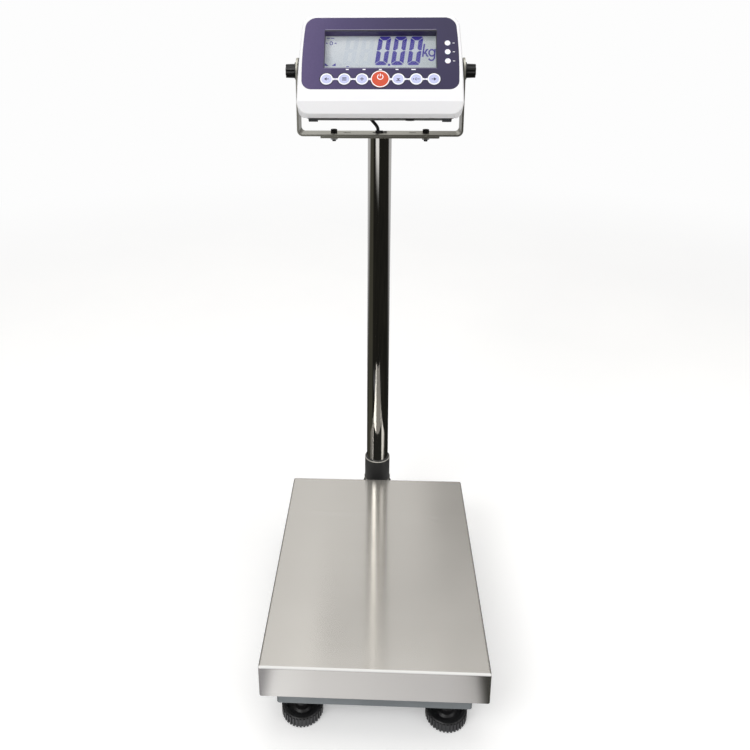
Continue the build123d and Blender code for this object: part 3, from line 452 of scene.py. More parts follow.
def plastic(name, colour, tone, rough, grain_scale, grain_depth, sss=0.0, worn=0.25, worn_colour=None, spec=0.5, coat=0.0):
    """Moulded plastic: spark-eroded grain, slow tone change, rubbed edges and light scuffs."""
    g = Graph(name)
    grain = g.noise(grain_scale, 2.0, 0.65)
    pits = g.cells(grain_scale * 0.8)
    slow = g.noise(7.0, 3.0, 0.55)
    scuff = g.noise(1.0, 2.0, 0.5, 0.8, vec=g.scale(g.xyz, 160, 46, 90))
    marks = g.span(scuff, 0.68, 0.74, smooth=True)
    e = g.edge_mask(0.0008)
    c = g.mix(g.span(slow, 0.35, 0.65), colour, tone)
    if worn_colour is not None:
        c = g.mix(g.math("MULTIPLY", e, worn), c, worn_colour)
    r = g.math("ADD", rough - 0.04, g.math("MULTIPLY", grain, 0.10))
    r = g.math("ADD", r, g.math("MULTIPLY", marks, 0.08))
    r = g.math("SUBTRACT", r, g.math("MULTIPLY", e, 0.08))
    values = dict(
        Base_Color=c,
        Roughness=r,
        Coat_Weight=coat,
        Coat_Roughness=0.08,
        Normal=g.bump(
            g.math("ADD", grain, g.math("MULTIPLY", pits, 0.4)), grain_depth, 0.7, g.soft_edge(0.0005)
        ),
    )
    g.set(**values)
    g.p.inputs["Specular IOR Level"].default_value = spec
    if sss:
        g.p.inputs["Subsurface Weight"].default_value = sss
        g.p.inputs["Subsurface Radius"].default_value = (1.0, 0.9, 0.8)
        g.p.inputs["Subsurface Scale"].default_value = 0.0015
    return g.m


def panel_film():
    """Reverse-printed polycarbonate overlay: fine velvet texture, ink mottling, a soft sheen, painted shade that
    darkens it to the right, and painted highlights on its edges.
    """
    g = Graph("printed_overlay")
    x, y, z = g.split(g.xyz)
    velvet = g.noise(3800.0, 2.0, 0.6)
    ink = g.noise(300.0, 3.0, 0.6)
    slow = g.noise(9.0, 2.0, 0.5)
    # painted shade: the overlay is painted darker from left to right
    across = g.span(x, -0.118, 0.118, smooth=False)
    base = g.ramp(
        across,
        (0.0, lin(92, 80, 122)),
        (0.25, lin(74, 64, 106)),
        (0.60, lin(56, 49, 86)),
        (1.0, lin(48, 43, 74)),
    )
    c = g.mix(g.span(ink, 0.35, 0.65, 0.0, 0.10), base, lin(46, 40, 76))
    c = g.mix(g.span(slow, 0.3, 0.7, 0.0, 0.08), c, lin(78, 69, 110))
    # painted highlight: edges painted paler
    e = g.edge_mask(0.0006)
    c = g.mix(g.math("MULTIPLY", e, 0.35), c, lin(140, 132, 168))
    g.set(
        Base_Color=c,
        Roughness=g.math("ADD", 0.34, g.math("MULTIPLY", velvet, 0.12)),
        Coat_Weight=0.06,
        Coat_Roughness=0.2,
        Normal=g.bump(velvet, 0.000012, 0.8, g.soft_edge(0.0004)),
    )
    g.p.inputs["Specular IOR Level"].default_value = 0.28
    return g.m


def window_clear():
    """Thin clear window: what is behind it shows through, and it mirrors a little."""
    g = Graph("clear_window")
    t = g.node("ShaderNodeBsdfTransparent")
    t.inputs[0].default_value = (0.985, 0.99, 0.985, 1)
    gl = g.node("ShaderNodeBsdfGlossy")
    smear = g.noise(40.0, 3.0, 0.6)
    fine = g.noise(900.0, 2.0, 0.5)
    gl.inputs["Color"].default_value = (1, 1, 1, 1)
    g.put(gl.inputs["Roughness"], g.math("ADD", 0.03, g.span(smear, 0.4, 0.7, 0.0, 0.06)))
    g.put(gl.inputs["Normal"], g.bump(fine, 0.000004, 0.5))
    f = g.node("ShaderNodeFresnel")
    f.inputs[0].default_value = 1.45
    mix = g.node("ShaderNodeMixShader")
    g.put(mix.inputs[0], g.math("MULTIPLY", f.outputs[0], 0.75))
    g.put(mix.inputs[1], t.outputs[0])
    g.put(mix.inputs[2], gl.outputs[0])
    g.t.nodes.remove(g.p)
    g.t.links.new(mix.outputs[0], g.out.inputs[0])
    return g.m


def display_glass():
    """Reflective liquid-crystal glass: pale grey with a slow tone change and a faint reflector grain, painted
    shade that darkens it to the right, and a painted glow.
    """
    g = Graph("lcd_reflector")
    x, y, z = g.split(g.xyz)
    # painted shade: the glass is painted paler at the left and darker at the right
    across = g.span(x, -0.09, 0.09)
    base = g.ramp(across, (0.0, lin(206, 210, 216)), (0.5, lin(197, 202, 207)), (1.0, lin(184, 191, 195)))
    grain = g.noise(2600.0, 2.0, 0.6)
    slow = g.noise(14.0, 2.0, 0.5)
    c = g.mix(g.span(grain, 0.35, 0.65, 0.0, 0.10), base, lin(170, 176, 182))
    c = g.mix(g.span(slow, 0.3, 0.7, 0.0, 0.15), c, lin(214, 217, 220))
    g.set(
        Base_Color=c,
        Metallic=0.0,
        Roughness=g.math("ADD", 0.36, g.math("MULTIPLY", grain, 0.1)),
        # painted glow: the glass emits its own colour, lifting it out of the shade of the window's walls
        Emission_Color=c,
        Emission_Strength=0.20,
        Normal=g.bump(grain, 0.000008, 0.5),
    )
    g.p.inputs["Specular IOR Level"].default_value = 0.2
    return g.m


def ink(name, colour, tone, rough=0.4, painted_glow=0.0, spec=0.5):
    """Printed or etched mark: mottled edge to edge, never quite flat."""
    g = Graph(name)
    mottle = g.noise(900.0, 3.0, 0.65)
    slow = g.noise(40.0, 2.0, 0.5)
    c = g.mix(g.span(mottle, 0.35, 0.65, 0.0, 0.5), colour, tone)
    c = g.mix(g.span(slow, 0.35, 0.65, 0.0, 0.25), c, tone)
    g.set(
        Base_Color=c,
        Roughness=g.math("ADD", rough - 0.05, g.math("MULTIPLY", mottle, 0.12)),
        Emission_Color=c,
        Emission_Strength=painted_glow,
        Normal=g.bump(mottle, 0.00001, 0.5),
    )
    g.p.inputs["Specular IOR Level"].default_value = spec
    return g.m


def rubber(name, colour, tone, rough=0.55, scale=700.0):
    g = Graph(name)
    grain = g.noise(scale, 3.0, 0.6)
    dust = g.noise(30.0, 3.0, 0.6)
    e = g.edge_mask(0.0007)
    c = g.mix(g.span(dust, 0.35, 0.7), colour, tone)
    c = g.mix(g.math("MULTIPLY", e, 0.25), c, (0.10, 0.10, 0.10, 1))
    g.set(
        Base_Color=c,
        Roughness=g.math("ADD", rough - 0.06, g.math("MULTIPLY", grain, 0.14)),
        Sheen_Weight=0.05,
        Normal=g.bump(grain, 0.00003, 0.7, g.soft_edge(0.0005)),
    )
    return g.m


def board_green():
    g = Graph("circuit_board")
    weave = g.cells(900.0, vec=g.scale(g.xyz, 1, 1, 1))
    tracks = g.noise(1.0, 1.0, 0.3, 0.2, vec=g.scale(g.xyz, 90, 420, 420))
    copper = g.span(tracks, 0.56, 0.58)
    c = g.mix(g.span(weave, 0.2, 0.6, 0.0, 0.4), lin(24, 82, 50), lin(18, 66, 42))
    c = g.mix(g.math("MULTIPLY", copper, 0.6), c, lin(44, 120, 66))
    g.set(
        Base_Color=c,
        Roughness=g.math("ADD", 0.3, g.math("MULTIPLY", weave, 0.2)),
        Coat_Weight=0.3,
        Normal=g.bump(g.math("ADD", weave, copper), 0.00003, 0.6),
    )
    return g.m


def level_glass():
    g = Graph("level_vial")
    x, y, z = g.split(g.xyz)
    swirl = g.noise(260.0, 2.0, 0.5)
    c = g.mix(g.span(swirl, 0.3, 0.7), lin(186, 214, 92), lin(168, 200, 76))
    g.set(
        Base_Color=c,
        Roughness=g.math("ADD", 0.05, g.math("MULTIPLY", swirl, 0.1)),
        Transmission_Weight=0.35,
        Coat_Weight=0.6,
        Normal=g.bump(swirl, 0.00001, 0.4, g.soft_edge(0.0004)),
    )
    return g.m


def lamp_white():
    g = Graph("frosted_lens")
    frost = g.noise(1500.0, 2.0, 0.6)
    slow = g.noise(120.0, 2.0, 0.5)
    c = g.mix(g.span(slow, 0.3, 0.7), lin(236, 236, 240), lin(222, 222, 228))
    g.set(
        Base_Color=c,
        Roughness=g.math("ADD", 0.22, g.math("MULTIPLY", frost, 0.15)),
        Subsurface_Weight=0.25,
        Subsurface_Scale=0.001,
        Coat_Weight=0.4,
        Emission_Color=c,
        Emission_Strength=0.25,
        Normal=g.bump(frost, 0.00001, 0.5, g.soft_edge(0.0004)),
    )
    return g.m


def brass():
    g = Graph("knurled_brass")
    flow = g.noise(200.0, 3.0, 0.6)
    c = g.mix(g.span(flow, 0.3, 0.7), lin(206, 170, 98), lin(176, 138, 72))
    g.set(
        Base_Color=c,
        Metallic=1.0,
        Roughness=g.math("ADD", 0.25, g.math("MULTIPLY", flow, 0.2)),
        Normal=g.bump(g.cells(1400.0), 0.00005, 0.6),
    )
    return g.m


def aluminium():
    g = Graph("milled_aluminium")
    mill = g.noise(1.0, 2.0, 0.5, vec=g.scale(g.xyz, 900, 20, 900))
    slow = g.noise(30.0, 2.0, 0.5)
    c = g.mix(g.span(mill, 0.3, 0.7), lin(206, 207, 210), lin(186, 188, 192))
    g.set(
        Base_Color=c,
        Metallic=1.0,
        Roughness=g.math("ADD", 0.28, g.math("MULTIPLY", slow, 0.14)),
        Normal=g.bump(mill, 0.00003, 0.8, g.soft_edge(0.0004)),
    )
    return g.m


SLOTS = {
    "frame_paint": paint("frame_powder_coat", lin(122, 128, 131), lin(113, 119, 122), 0.42, 900.0, 0.00006, 0.35),
    "zinc_steel": zinc_steel(),
    "black_steel": black_steel(),
    "level_glass": level_glass(),
    "cell_aluminium": aluminium(),
    # painted highlight: the bands at the sleeve's top rim and weld bead, and partly the pale edge chips, stand for
    # lit rims
    "socket_paint": paint(
        "socket_powder_coat", lin(58, 58, 58), lin(48, 48, 48), 0.46, 700.0, 0.00009, 0.6, bare=lin(150, 149, 144),
        painted_rim_bands=((0.1438, 0.1452), (0.1006, 0.1024)),
    ),
    "polished_steel": polished_steel(),
    "bracket_steel": bracket_steel(),
    "platter_steel": platter_steel(),
    "buffer_rubber": rubber("buffer_rubber", lin(34, 34, 35), lin(46, 46, 46)),
    "foot_black": rubber("foot_nylon", lin(17, 17, 18), lin(28, 28, 30), 0.42),
    "cable_rubber": rubber("cable_jacket", lin(22, 22, 23), lin(32, 32, 33), 0.44, 1500.0),
    "housing_white": plastic(
        "white_abs", lin(250, 250, 252), lin(246, 246, 249), 0.38, 2400.0, 0.00002, sss=0.06, worn_colour=lin(253, 253, 253)
    ),
    "housing_dark": plastic(
        "grey_abs", lin(74, 76, 80), lin(64, 66, 70), 0.46, 1500.0, 0.00005, worn_colour=lin(108, 110, 114)
    ),
    "panel_film": panel_film(),
    "window_clear": window_clear(),
    "display_glass": display_glass(),
    "lamp_white": lamp_white(),
    "switch_black": plastic("black_nylon", lin(24, 24, 26), lin(34, 34, 36), 0.40, 1800.0, 0.00003, worn_colour=lin(60, 60, 62)),
    "board_green": board_green(),
    "gasket_rubber": rubber("seal_rubber", lin(30, 30, 31), lin(42, 42, 43), 0.6),
    "battery_case": plastic("battery_abs", lin(92, 96, 104), lin(78, 82, 90), 0.44, 1500.0, 0.00004, worn_colour=lin(130, 132, 138)),
    "insert_brass": brass(),
    "key_red": plastic("red_key", lin(222, 86, 48), lin(210, 74, 40), 0.34, 2600.0, 0.000012, worn_colour=lin(236, 120, 84)),
    "key_lavender": plastic("lavender_key", lin(208, 212, 246), lin(196, 201, 240), 0.34, 2600.0, 0.000012, worn_colour=lin(226, 229, 250)),
    "knob_black": plastic("black_knob", lin(16, 16, 16), lin(24, 24, 24), 0.36, 1400.0, 0.00005, worn_colour=lin(74, 74, 76)),
}
for name, obj in nodes.items():
    for i, m in enumerate(obj.data.materials):
        key = m.name.split(".")[0]
        obj.data.materials[i] = SLOTS[key]

# painted glow: the white print and the display marks emit part of their own colour, which keeps them bright in
# shade
INK_WHITE = ink("white_ink", lin(246, 246, 250), lin(238, 238, 244), 0.4, 0.15)
PAINTED_GLINT_GREY = ink("painted_glint_grey", lin(150, 146, 172), lin(138, 133, 160))
INK_DARK = ink("dark_ink", lin(46, 40, 76), lin(60, 52, 92))
INK_BLACK = ink("black_ink", lin(22, 20, 30), lin(34, 31, 44))
INK_RED = ink("red_ink", lin(224, 84, 46), lin(214, 74, 40))
LCD_DARK = ink("lcd_segment", lin(62, 56, 138), lin(70, 64, 146), 0.34, 0.35, 0.1)
LCD_SHADOW = ink("lcd_segment_shadow", lin(158, 162, 186), lin(168, 172, 192), 0.4, 0.4, 0.1)
LCD_GHOST = ink("lcd_segment_off", lin(183, 189, 197), lin(188, 194, 201), 0.4, 0.30, 0.1)


# ---------------------------------------------------------------------------
# mesh helpers
# ---------------------------------------------------------------------------
def make(name, mesh_builder, material, body):
    """A new piece from a function that fills a bmesh in row-frame metres."""
    bm = bmesh.new()
    mesh_builder(bm)
    me = bpy.data.meshes.new(name)
    bmesh.ops.recalc_face_normals(bm, faces=bm.faces)
    bm.to_mesh(me)
    bm.free()
    me.materials.append(material)
    ob = bpy.data.objects.new(name, me)
    bpy.context.scene.collection.objects.link(ob)
    if body:
        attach(ob, body)
    return ob


def prism(bm, outline, n0, n1, hole=None):
    """Flat mark on the tilted face from a list of (x, s) millimetres, between two depths."""
    if hole is None:
        lo = [bm.verts.new(on_face(x, s, n0)) for x, s in outline]
        hi = [bm.verts.new(on_face(x, s, n1)) for x, s in outline]
        bm.faces.new(hi)
        bm.faces.new(list(reversed(lo)))
        k = len(outline)
        for i in range(k):
            j = (i + 1) % k
            bm.faces.new((lo[i], lo[j], hi[j], hi[i]))
        return
    k = len(outline)
    rings = []
    for pts, n in ((outline, n0), (outline, n1), (hole, n1), (hole, n0)):
        rings.append([bm.verts.new(on_face(x, s, n)) for x, s in pts])
    for a in range(4):
        b = (a + 1) % 4
        for i in range(k):
            j = (i + 1) % k
            bm.faces.new((rings[a][i], rings[a][j], rings[b][j], rings[b][i]))


def circle(cx, cs, r, k=64, rs=None, start=0.0):
    rs = r if rs is None else rs
    return [
        (cx + r * math.cos(start + 2 * math.pi * i / k), cs + rs * math.sin(start + 2 * math.pi * i / k))
        for i in range(k)
    ]


def stroke(points, width, closed=False):
    """Outline of a constant-width line through (x, s) points."""
    n = len(points)
    left, right = [], []
    for i, (x, s) in enumerate(points):
        if closed:
            a, b = points[(i - 1) % n], points[(i + 1) % n]
        else:
            a, b = points[max(i - 1, 0)], points[min(i + 1, n - 1)]
        dx, ds = b[0] - a[0], b[1] - a[1]
        d = math.hypot(dx, ds) or 1.0
        nx, ns = -ds / d * width / 2, dx / d * width / 2
        left.append((x + nx, s + ns))
        right.append((x - nx, s - ns))
    return left + right[::-1]


def arc(cx, cs, r, a0, a1, k=20, rs=None):
    rs = r if rs is None else rs
    return [
        (
            cx + r * math.cos(math.radians(a0 + (a1 - a0) * i / k)),
            cs + rs * math.sin(math.radians(a0 + (a1 - a0) * i / k)),
        )
        for i in range(k + 1)
    ]


def rounded_rect(x0, s0, x1, s1, r, k=6):
    pts = []
    for cx, cs, a in ((x1 - r, s1 - r, 0), (x0 + r, s1 - r, 90), (x0 + r, s0 + r, 180), (x1 - r, s0 + r, 270)):
        for i in range(k + 1):
            t = math.radians(a + 90 * i / k)
            pts.append((cx + r * math.cos(t), cs + r * math.sin(t)))
    return pts


# ---------------------------------------------------------------------------
# display: slanted seven-segment numerals behind the window
# ---------------------------------------------------------------------------
LCD_N = -14.5
SLANT = 0.1326
SEG = 6.6
DIGIT_W = 19.0
DIGIT_LO, DIGIT_HI = 76.0, 126.0


def segment_polys(x0, lo=DIGIT_LO, hi=DIGIT_HI, w=DIGIT_W, t=SEG, gap=0.55):
    """The seven segments of a digit whose lower left corner is x0, before the slant is added."""
    mid = (lo + hi) / 2
    h = t / 2
    g = gap

    def slant(pts):
        return [(x0 + x + (s - 80.0) * SLANT, s) for x, s in pts]

    c = 2.2  # clipped outer corner
    segs = {
        "a": [(c + g, hi), (w - c - g, hi), (w - g, hi - c + g), (w - t - g + 0.6, hi - t), (t + g - 0.6, hi - t), (g, hi - c + g)],
        "d": [(c + g, lo), (w - c - g, lo), (w - g, lo + c - g), (w - t - g + 0.6, lo + t), (t + g - 0.6, lo + t), (g, lo + c - g)],
        "f": [(0, hi - c - g), (t, hi - t - g - 0.3), (t, mid + h + g * 0.3), (h, mid + g), (0, mid + g * 1.6)],
        "b": [(w, hi - c - g), (w - t, hi - t - g - 0.3), (w - t, mid + h + g * 0.3), (w - h, mid + g), (w, mid + g * 1.6)],
        "e": [(0, lo + c + g), (t, lo + t + g + 0.3), (t, mid - h - g * 0.3), (h, mid - g), (0, mid - g * 1.6)],
        "c": [(w, lo + c + g), (w - t, lo + t + g + 0.3), (w - t, mid - h - g * 0.3), (w - h, mid - g), (w, mid - g * 1.6)],
        "g": [(h + g, mid), (t + 0.2, mid + h - 0.2), (w - t - 0.2, mid + h - 0.2), (w - h - g, mid), (w - t - 0.2, mid - h + 0.2), (t + 0.2, mid - h + 0.2)],
    }
    return {k: slant(v) for k, v in segs.items()}


DIGITS = (-8.32, 16.37, 41.09)
PITCH = 24.7
OFF_DIGITS = (-8.32 - PITCH, -8.32 - 2 * PITCH)

KG = []
KG.append([(63.3, 90.2), (65.8, 90.2), (68.7, 112.9), (66.2, 112.9)])
KG.append([(65.8, 96.4), (67.2, 94.4), (73.7, 103.9), (70.6, 103.9)])
KG.append([(67.2, 98.2), (69.0, 99.9), (73.9, 90.2), (70.8, 90.2)])
g_outer = circle(78.7, 97.2, 5.6, 40, 6.8)
g_inner = circle(78.7, 97.2, 3.2, 40, 4.4)
G_STEM = [(82.5, 103.9), (84.9, 103.9), (83.7, 90.5), (81.3, 90.5)]
G_HOOK = stroke(arc(77.9, 90.2, 4.6, 8, -150, 16, 6.2), 2.4)


def lit(bm, shift=(0.0, 0.0), n=0.12, grow=0.0):
    dx, ds = shift
    n0, n1 = LCD_N + n, LCD_N + n + 0.03
    for x0 in DIGITS:
        polys = segment_polys(x0)
        for k in "abcdef":
            prism(bm, [(x + dx, s + ds) for x, s in polys[k]], n0, n1)
    prism(bm, [(x + dx, s + ds) for x, s in circle(13.26, 76.4, 2.0, 24)], n0, n1)
    for poly in KG + [G_STEM, G_HOOK]:
        prism(bm, [(x + dx, s + ds) for x, s in poly], n0, n1)
    prism(bm, [(x + dx, s + ds) for x, s in g_outer], n0, n1, [(x + dx, s + ds) for x, s in g_inner])


make("lcd_lit_segments", lambda bm: lit(bm), LCD_DARK, "indicator")
make("lcd_segment_shadows", lambda bm: lit(bm, (0.35, -0.5), 0.03), LCD_SHADOW, "indicator")


def ghosts(bm):
    for x0 in OFF_DIGITS:
        polys = segment_polys(x0)
        for k in "abcdefg":
            prism(bm, polys[k], LCD_N + 0.02, LCD_N + 0.03)
        prism(bm, circle(x0 - 3.1, 76.4, 2.0, 24), LCD_N + 0.02, LCD_N + 0.03)
    for x0 in DIGITS:
        prism(bm, segment_polys(x0)["g"], LCD_N + 0.02, LCD_N + 0.03)


make("lcd_off_segments", ghosts, LCD_GHOST, "indicator")


def annunciators(bm):
    n0, n1 = LCD_N + 0.12, LCD_N + 0.15
    # zero marker: two arrows towards a ring
    prism(bm, [(-84.0, 115.6), (-80.4, 114.3), (-84.0, 113.0)], n0, n1)
    prism(bm, [(-84.4, 114.7), (-82.0, 114.7), (-82.0, 113.9), (-84.4, 113.9)], n0, n1)
    prism(bm, circle(-76.1, 114.3, 2.6, 32, 3.5), n0, n1, circle(-76.1, 114.3, 1.5, 32, 2.3))
    prism(bm, [(-68.3, 115.6), (-71.9, 114.3), (-68.3, 113.0)], n0, n1)
    prism(bm, [(-67.9, 114.7), (-70.3, 114.7), (-70.3, 113.9), (-67.9, 113.9)], n0, n1)
    # direction markers at the lower left
    prism(bm, [(-85.0, 79.6), (-84.9, 74.6), (-79.0, 74.6)], n0, n1)
    prism(bm, [(-68.4, 79.2), (-68.3, 74.6), (-74.4, 74.6)], n0, n1)
    # row of small state bars along the bottom edge
    prism(bm, rounded_rect(-52.0, 72.7, -47.9, 74.1, 0.5), n0, n1)
    # bar over the top left corner of the glass
    prism(bm, rounded_rect(-83.2, 122.6, -78.0, 123.7, 0.4), n0, n1)
    prism(bm, rounded_rect(-76.6, 122.6, -71.4, 123.7, 0.4), n0, n1)


make("lcd_annunciators", annunciators, LCD_DARK, "indicator")


def lcd_border(bm):
    prism(bm, rounded_rect(-88.8, 59.7, 88.8, 129.3, 0.6), LCD_N + 0.01, LCD_N + 0.05, rounded_rect(-84.2, 63.8, 84.2, 125.4, 0.6))


# ---------------------------------------------------------------------------
# panel print
# ---------------------------------------------------------------------------
KEY_XS = (-80.3, -53.6, -27.1, 27.2, 53.9, 80.3)
KEY_S = 43.5
POWER_X = 0.2


def teardrop(cx, r, reach, half=1.0):
    """Ring outline that runs out to points where it meets the line to either side."""
    pts = []
    a = math.acos(min(1.0, r / (r + reach)))
    k = 28
    pts.append((cx + r + reach, KEY_S))
    for i in range(k + 1):
        t = a * 0.9 + (math.pi - 1.8 * a) * i / k
        pts.append((cx + r * math.cos(t), KEY_S + r * math.sin(t)))
    pts.append((cx - r - reach, KEY_S))
    for i in range(k + 1):
        t = math.pi + a * 0.9 + (math.pi - 1.8 * a) * i / k
        pts.append((cx + r * math.cos(t), KEY_S + r * math.sin(t)))
    return pts


def panel_line(bm):
    stops = [(-80.3, 9.9), (-53.6, 9.9), (-27.1, 9.9), (POWER_X, 14.6), (27.2, 9.9), (53.9, 9.9), (80.3, 9.9)]
    for (xa, ra), (xb, rb) in zip(stops, stops[1:]):
        x0, x1 = xa + ra, xb - rb
        flare = 1.9
        prism(
            bm,
            [
                (x0 - 0.2, KEY_S - 2.1),
                (x0 + flare, KEY_S - 1.0),
                (x1 - flare, KEY_S - 1.0),
                (x1 + 0.2, KEY_S - 2.1),
                (x1 + 0.2, KEY_S + 2.1),
                (x1 - flare, KEY_S + 1.0),
                (x0 + flare, KEY_S + 1.0),
                (x0 - 0.2, KEY_S + 2.1),
            ],
            0.01,
            0.05,
        )


make("panel_key_line", panel_line, INK_WHITE, "indicator")


def key_outline(bm):
    for x in KEY_XS:
        prism(bm, circle(x, KEY_S, 10.9, 64), 0.005, 0.035, circle(x, KEY_S, 9.75, 64))
    prism(bm, circle(POWER_X, KEY_S, 15.7, 72), 0.005, 0.035, circle(POWER_X, KEY_S, 14.45, 72))


make("panel_key_outlines", key_outline, INK_BLACK, "indicator")


def panel_marks(bm):
    # pointers from the display's state bars
    for x in (-49.4, -24.2, 0.4, 25.2, 49.9):
        w = 2.3 if x < 40 else 3.4
        prism(bm, rounded_rect(x - w, 59.0, x + w, 60.6, 0.6), 0.01, 0.05)
    # ticks beside the lamps
    for s in (105.0, 89.8, 74.2):
        prism(bm, rounded_rect(109.0, s - 0.5, 112.2, s + 0.5, 0.4), 0.01, 0.05)


make("panel_print", panel_marks, INK_WHITE, "indicator")


def window_border(bm):
    prism(bm, rounded_rect(-85.6, 126.0, 85.6, 128.3, 0.4), 0.005, 0.06)
    prism(bm, [(-85.6, 62.7), (-85.0, 62.7), (-85.0, 126.0), (-85.6, 126.0)], 0.005, 0.03)
    prism(bm, [(85.0, 62.7), (85.6, 62.7), (85.6, 126.0), (85.0, 126.0)], 0.005, 0.03)


make("panel_window_border", window_border, INK_BLACK, "indicator")


# painted highlight: pale grey strips along the window's top and bottom edges, where the panel's edge catches the
# light
def window_glint(bm):
    prism(bm, rounded_rect(-84.8, 128.6, 84.8, 129.3, 0.3), 0.005, 0.05)
    prism(bm, rounded_rect(-84.8, 61.8, 84.8, 62.4, 0.3), 0.005, 0.05)


make("panel_window_glint", window_glint, PAINTED_GLINT_GREY, "indicator")

# ---------------------------------------------------------------------------
# key faces
# ---------------------------------------------------------------------------
CAP_N = 0.5
POWER_N = 0.7


def pressed(index):
    return f"key_{index + 1}"


for i, kx in enumerate(KEY_XS):
    body = pressed(i)

    def ring(bm, kx=kx):
        prism(bm, circle(kx, KEY_S, 9.3, 72), CAP_N + 0.005, CAP_N + 0.10, circle(kx, KEY_S, 7.8, 72))

    make(f"{body}_ring", ring, INK_WHITE, body)

    def symbol(bm, i=i, kx=kx):
        n0, n1 = CAP_N + 0.005, CAP_N + 0.05
        c = KEY_S
        if i == 0:  # step back
            prism(bm, [(kx - 3.6, c), (kx + 0.2, c + 2.8), (kx + 0.2, c - 2.8)], n0, n1)
            prism(bm, rounded_rect(kx + 0.4, c - 0.6, kx + 3.6, c + 0.6, 0.4), n0, n1)
        elif i == 1:  # stack
            for d in (-2.0, 0.0, 2.0):
                prism(bm, rounded_rect(kx - 3.3, c + d - 0.55, kx + 3.3, c + d + 0.55, 0.4), n0, n1)
        elif i == 2:  # plus
            prism(bm, rounded_rect(kx - 3.0, c - 0.6, kx + 3.0, c + 0.6, 0.4), n0, n1)
            prism(bm, rounded_rect(kx - 0.6, c + 0.7, kx + 0.6, c + 3.0, 0.4), n0, n1)
            prism(bm, rounded_rect(kx - 0.6, c - 3.0, kx + 0.6, c - 0.7, 0.4), n0, n1)
        elif i == 3:  # down to rest
            prism(bm, [(kx - 2.8, c + 0.9), (kx + 2.8, c + 0.9), (kx, c - 2.3)], n0, n1)
            prism(bm, rounded_rect(kx - 3.2, c - 3.6, kx + 3.2, c - 2.5, 0.4), n0, n1)
        elif i == 4:  # two arrows towards a ring
            prism(bm, [(kx - 4.6, c + 1.3), (kx - 2.4, c), (kx - 4.6, c - 1.3)], n0, n1)
            prism(bm, [(kx + 4.6, c + 1.3), (kx + 2.4, c), (kx + 4.6, c - 1.3)], n0, n1)
            prism(bm, circle(kx, c, 1.7, 24, 2.2), n0, n1, circle(kx, c, 0.9, 24, 1.4))
        else:  # step on
            prism(bm, [(kx + 3.6, c), (kx - 0.2, c + 2.8), (kx - 0.2, c - 2.8)], n0, n1)
            prism(bm, rounded_rect(kx - 3.6, c - 0.6, kx - 0.4, c + 0.6, 0.4), n0, n1)

    make(f"{body}_symbol", symbol, INK_DARK, body)


def power_ring(bm):
    prism(bm, circle(POWER_X, KEY_S, 14.0, 96), POWER_N + 0.005, POWER_N + 0.10, circle(POWER_X, KEY_S, 12.6, 96))


make("power_key_ring", power_ring, INK_WHITE, "power_key")


def power_symbol(bm):
    n0, n1 = POWER_N + 0.005, POWER_N + 0.06
    c = KEY_S + 3.4
    prism(bm, stroke(arc(POWER_X, c, 4.2, 122, 418, 40), 1.15), n0, n1)
    prism(bm, rounded_rect(POWER_X - 0.6, c + 0.9, POWER_X + 0.6, c + 5.6, 0.5), n0, n1)


make("power_key_symbol", power_symbol, INK_WHITE, "power_key")

# ---------------------------------------------------------------------------
# indicator cable
# ---------------------------------------------------------------------------
tie_lo, tie_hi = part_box("cable_tie")
CORD_R = 2.6 * MM
CORD_IN = Vector(on_face(-14.0, 16.0, -58.0))
CORD_OUT = Vector(on_face(-14.0, 16.0, -74.0))
CORD_TIE = Vector((-3.0 * MM, pole_y, tie_lo.z + 4.4 * MM))
CORD_END = Vector((-3.0 * MM, pole_y, 706.0 * MM))


def cord_path():
    pts = [CORD_IN.lerp(CORD_OUT, i / 6) for i in range(7)]
    t0 = (CORD_OUT - CORD_IN).normalized()
    t1 = Vector((0, 0, -1))
    reach = (CORD_TIE - CORD_OUT).length * 1.05
    for i in range(1, 37):
        t = i / 36
        h00, h10 = 2 * t**3 - 3 * t**2 + 1, t**3 - 2 * t**2 + t
        h01, h11 = -2 * t**3 + 3 * t**2, t**3 - t**2
        pts.append(CORD_OUT * h00 + t0 * (reach * h10) + CORD_TIE * h01 + t1 * (reach * h11))
    pts += [CORD_TIE.lerp(CORD_END, i / 6) for i in range(1, 7)]
    return pts


def cord(bm):
    pts = cord_path()
    k = 24
    side = None
    rings = []
    for i, p in enumerate(pts):
        t = (pts[min(i + 1, len(pts) - 1)] - pts[max(i - 1, 0)]).normalized()
        side = Vector((1, 0, 0)) if side is None else side
        side = (side - t * side.dot(t)).normalized()
        other = t.cross(side)
        # faint waist and swell of an extruded jacket
        r = CORD_R * (1.0 - 0.008 * (1 + math.sin(i * 1.7)))
        rings.append(
            [
                bm.verts.new(p + side * (r * math.cos(2 * math.pi * j / k)) + other * (r * math.sin(2 * math.pi * j / k)))
                for j in range(k)
            ]
        )
    for a, b in zip(rings, rings[1:]):
        for j in range(k):
            f = bm.faces.new((a[j], a[(j + 1) % k], b[(j + 1) % k], b[j]))
            f.smooth = True
    bm.faces.new(list(reversed(rings[0])))
    bm.faces.new(rings[-1])


cord_obj = make("indicator_cord", cord, SLOTS["cable_rubber"], None)
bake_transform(cord_obj)
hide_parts("indicator_cable")

# ---------------------------------------------------------------------------
# floor, light and camera
# ---------------------------------------------------------------------------
BACK = lin(253, 253, 253)


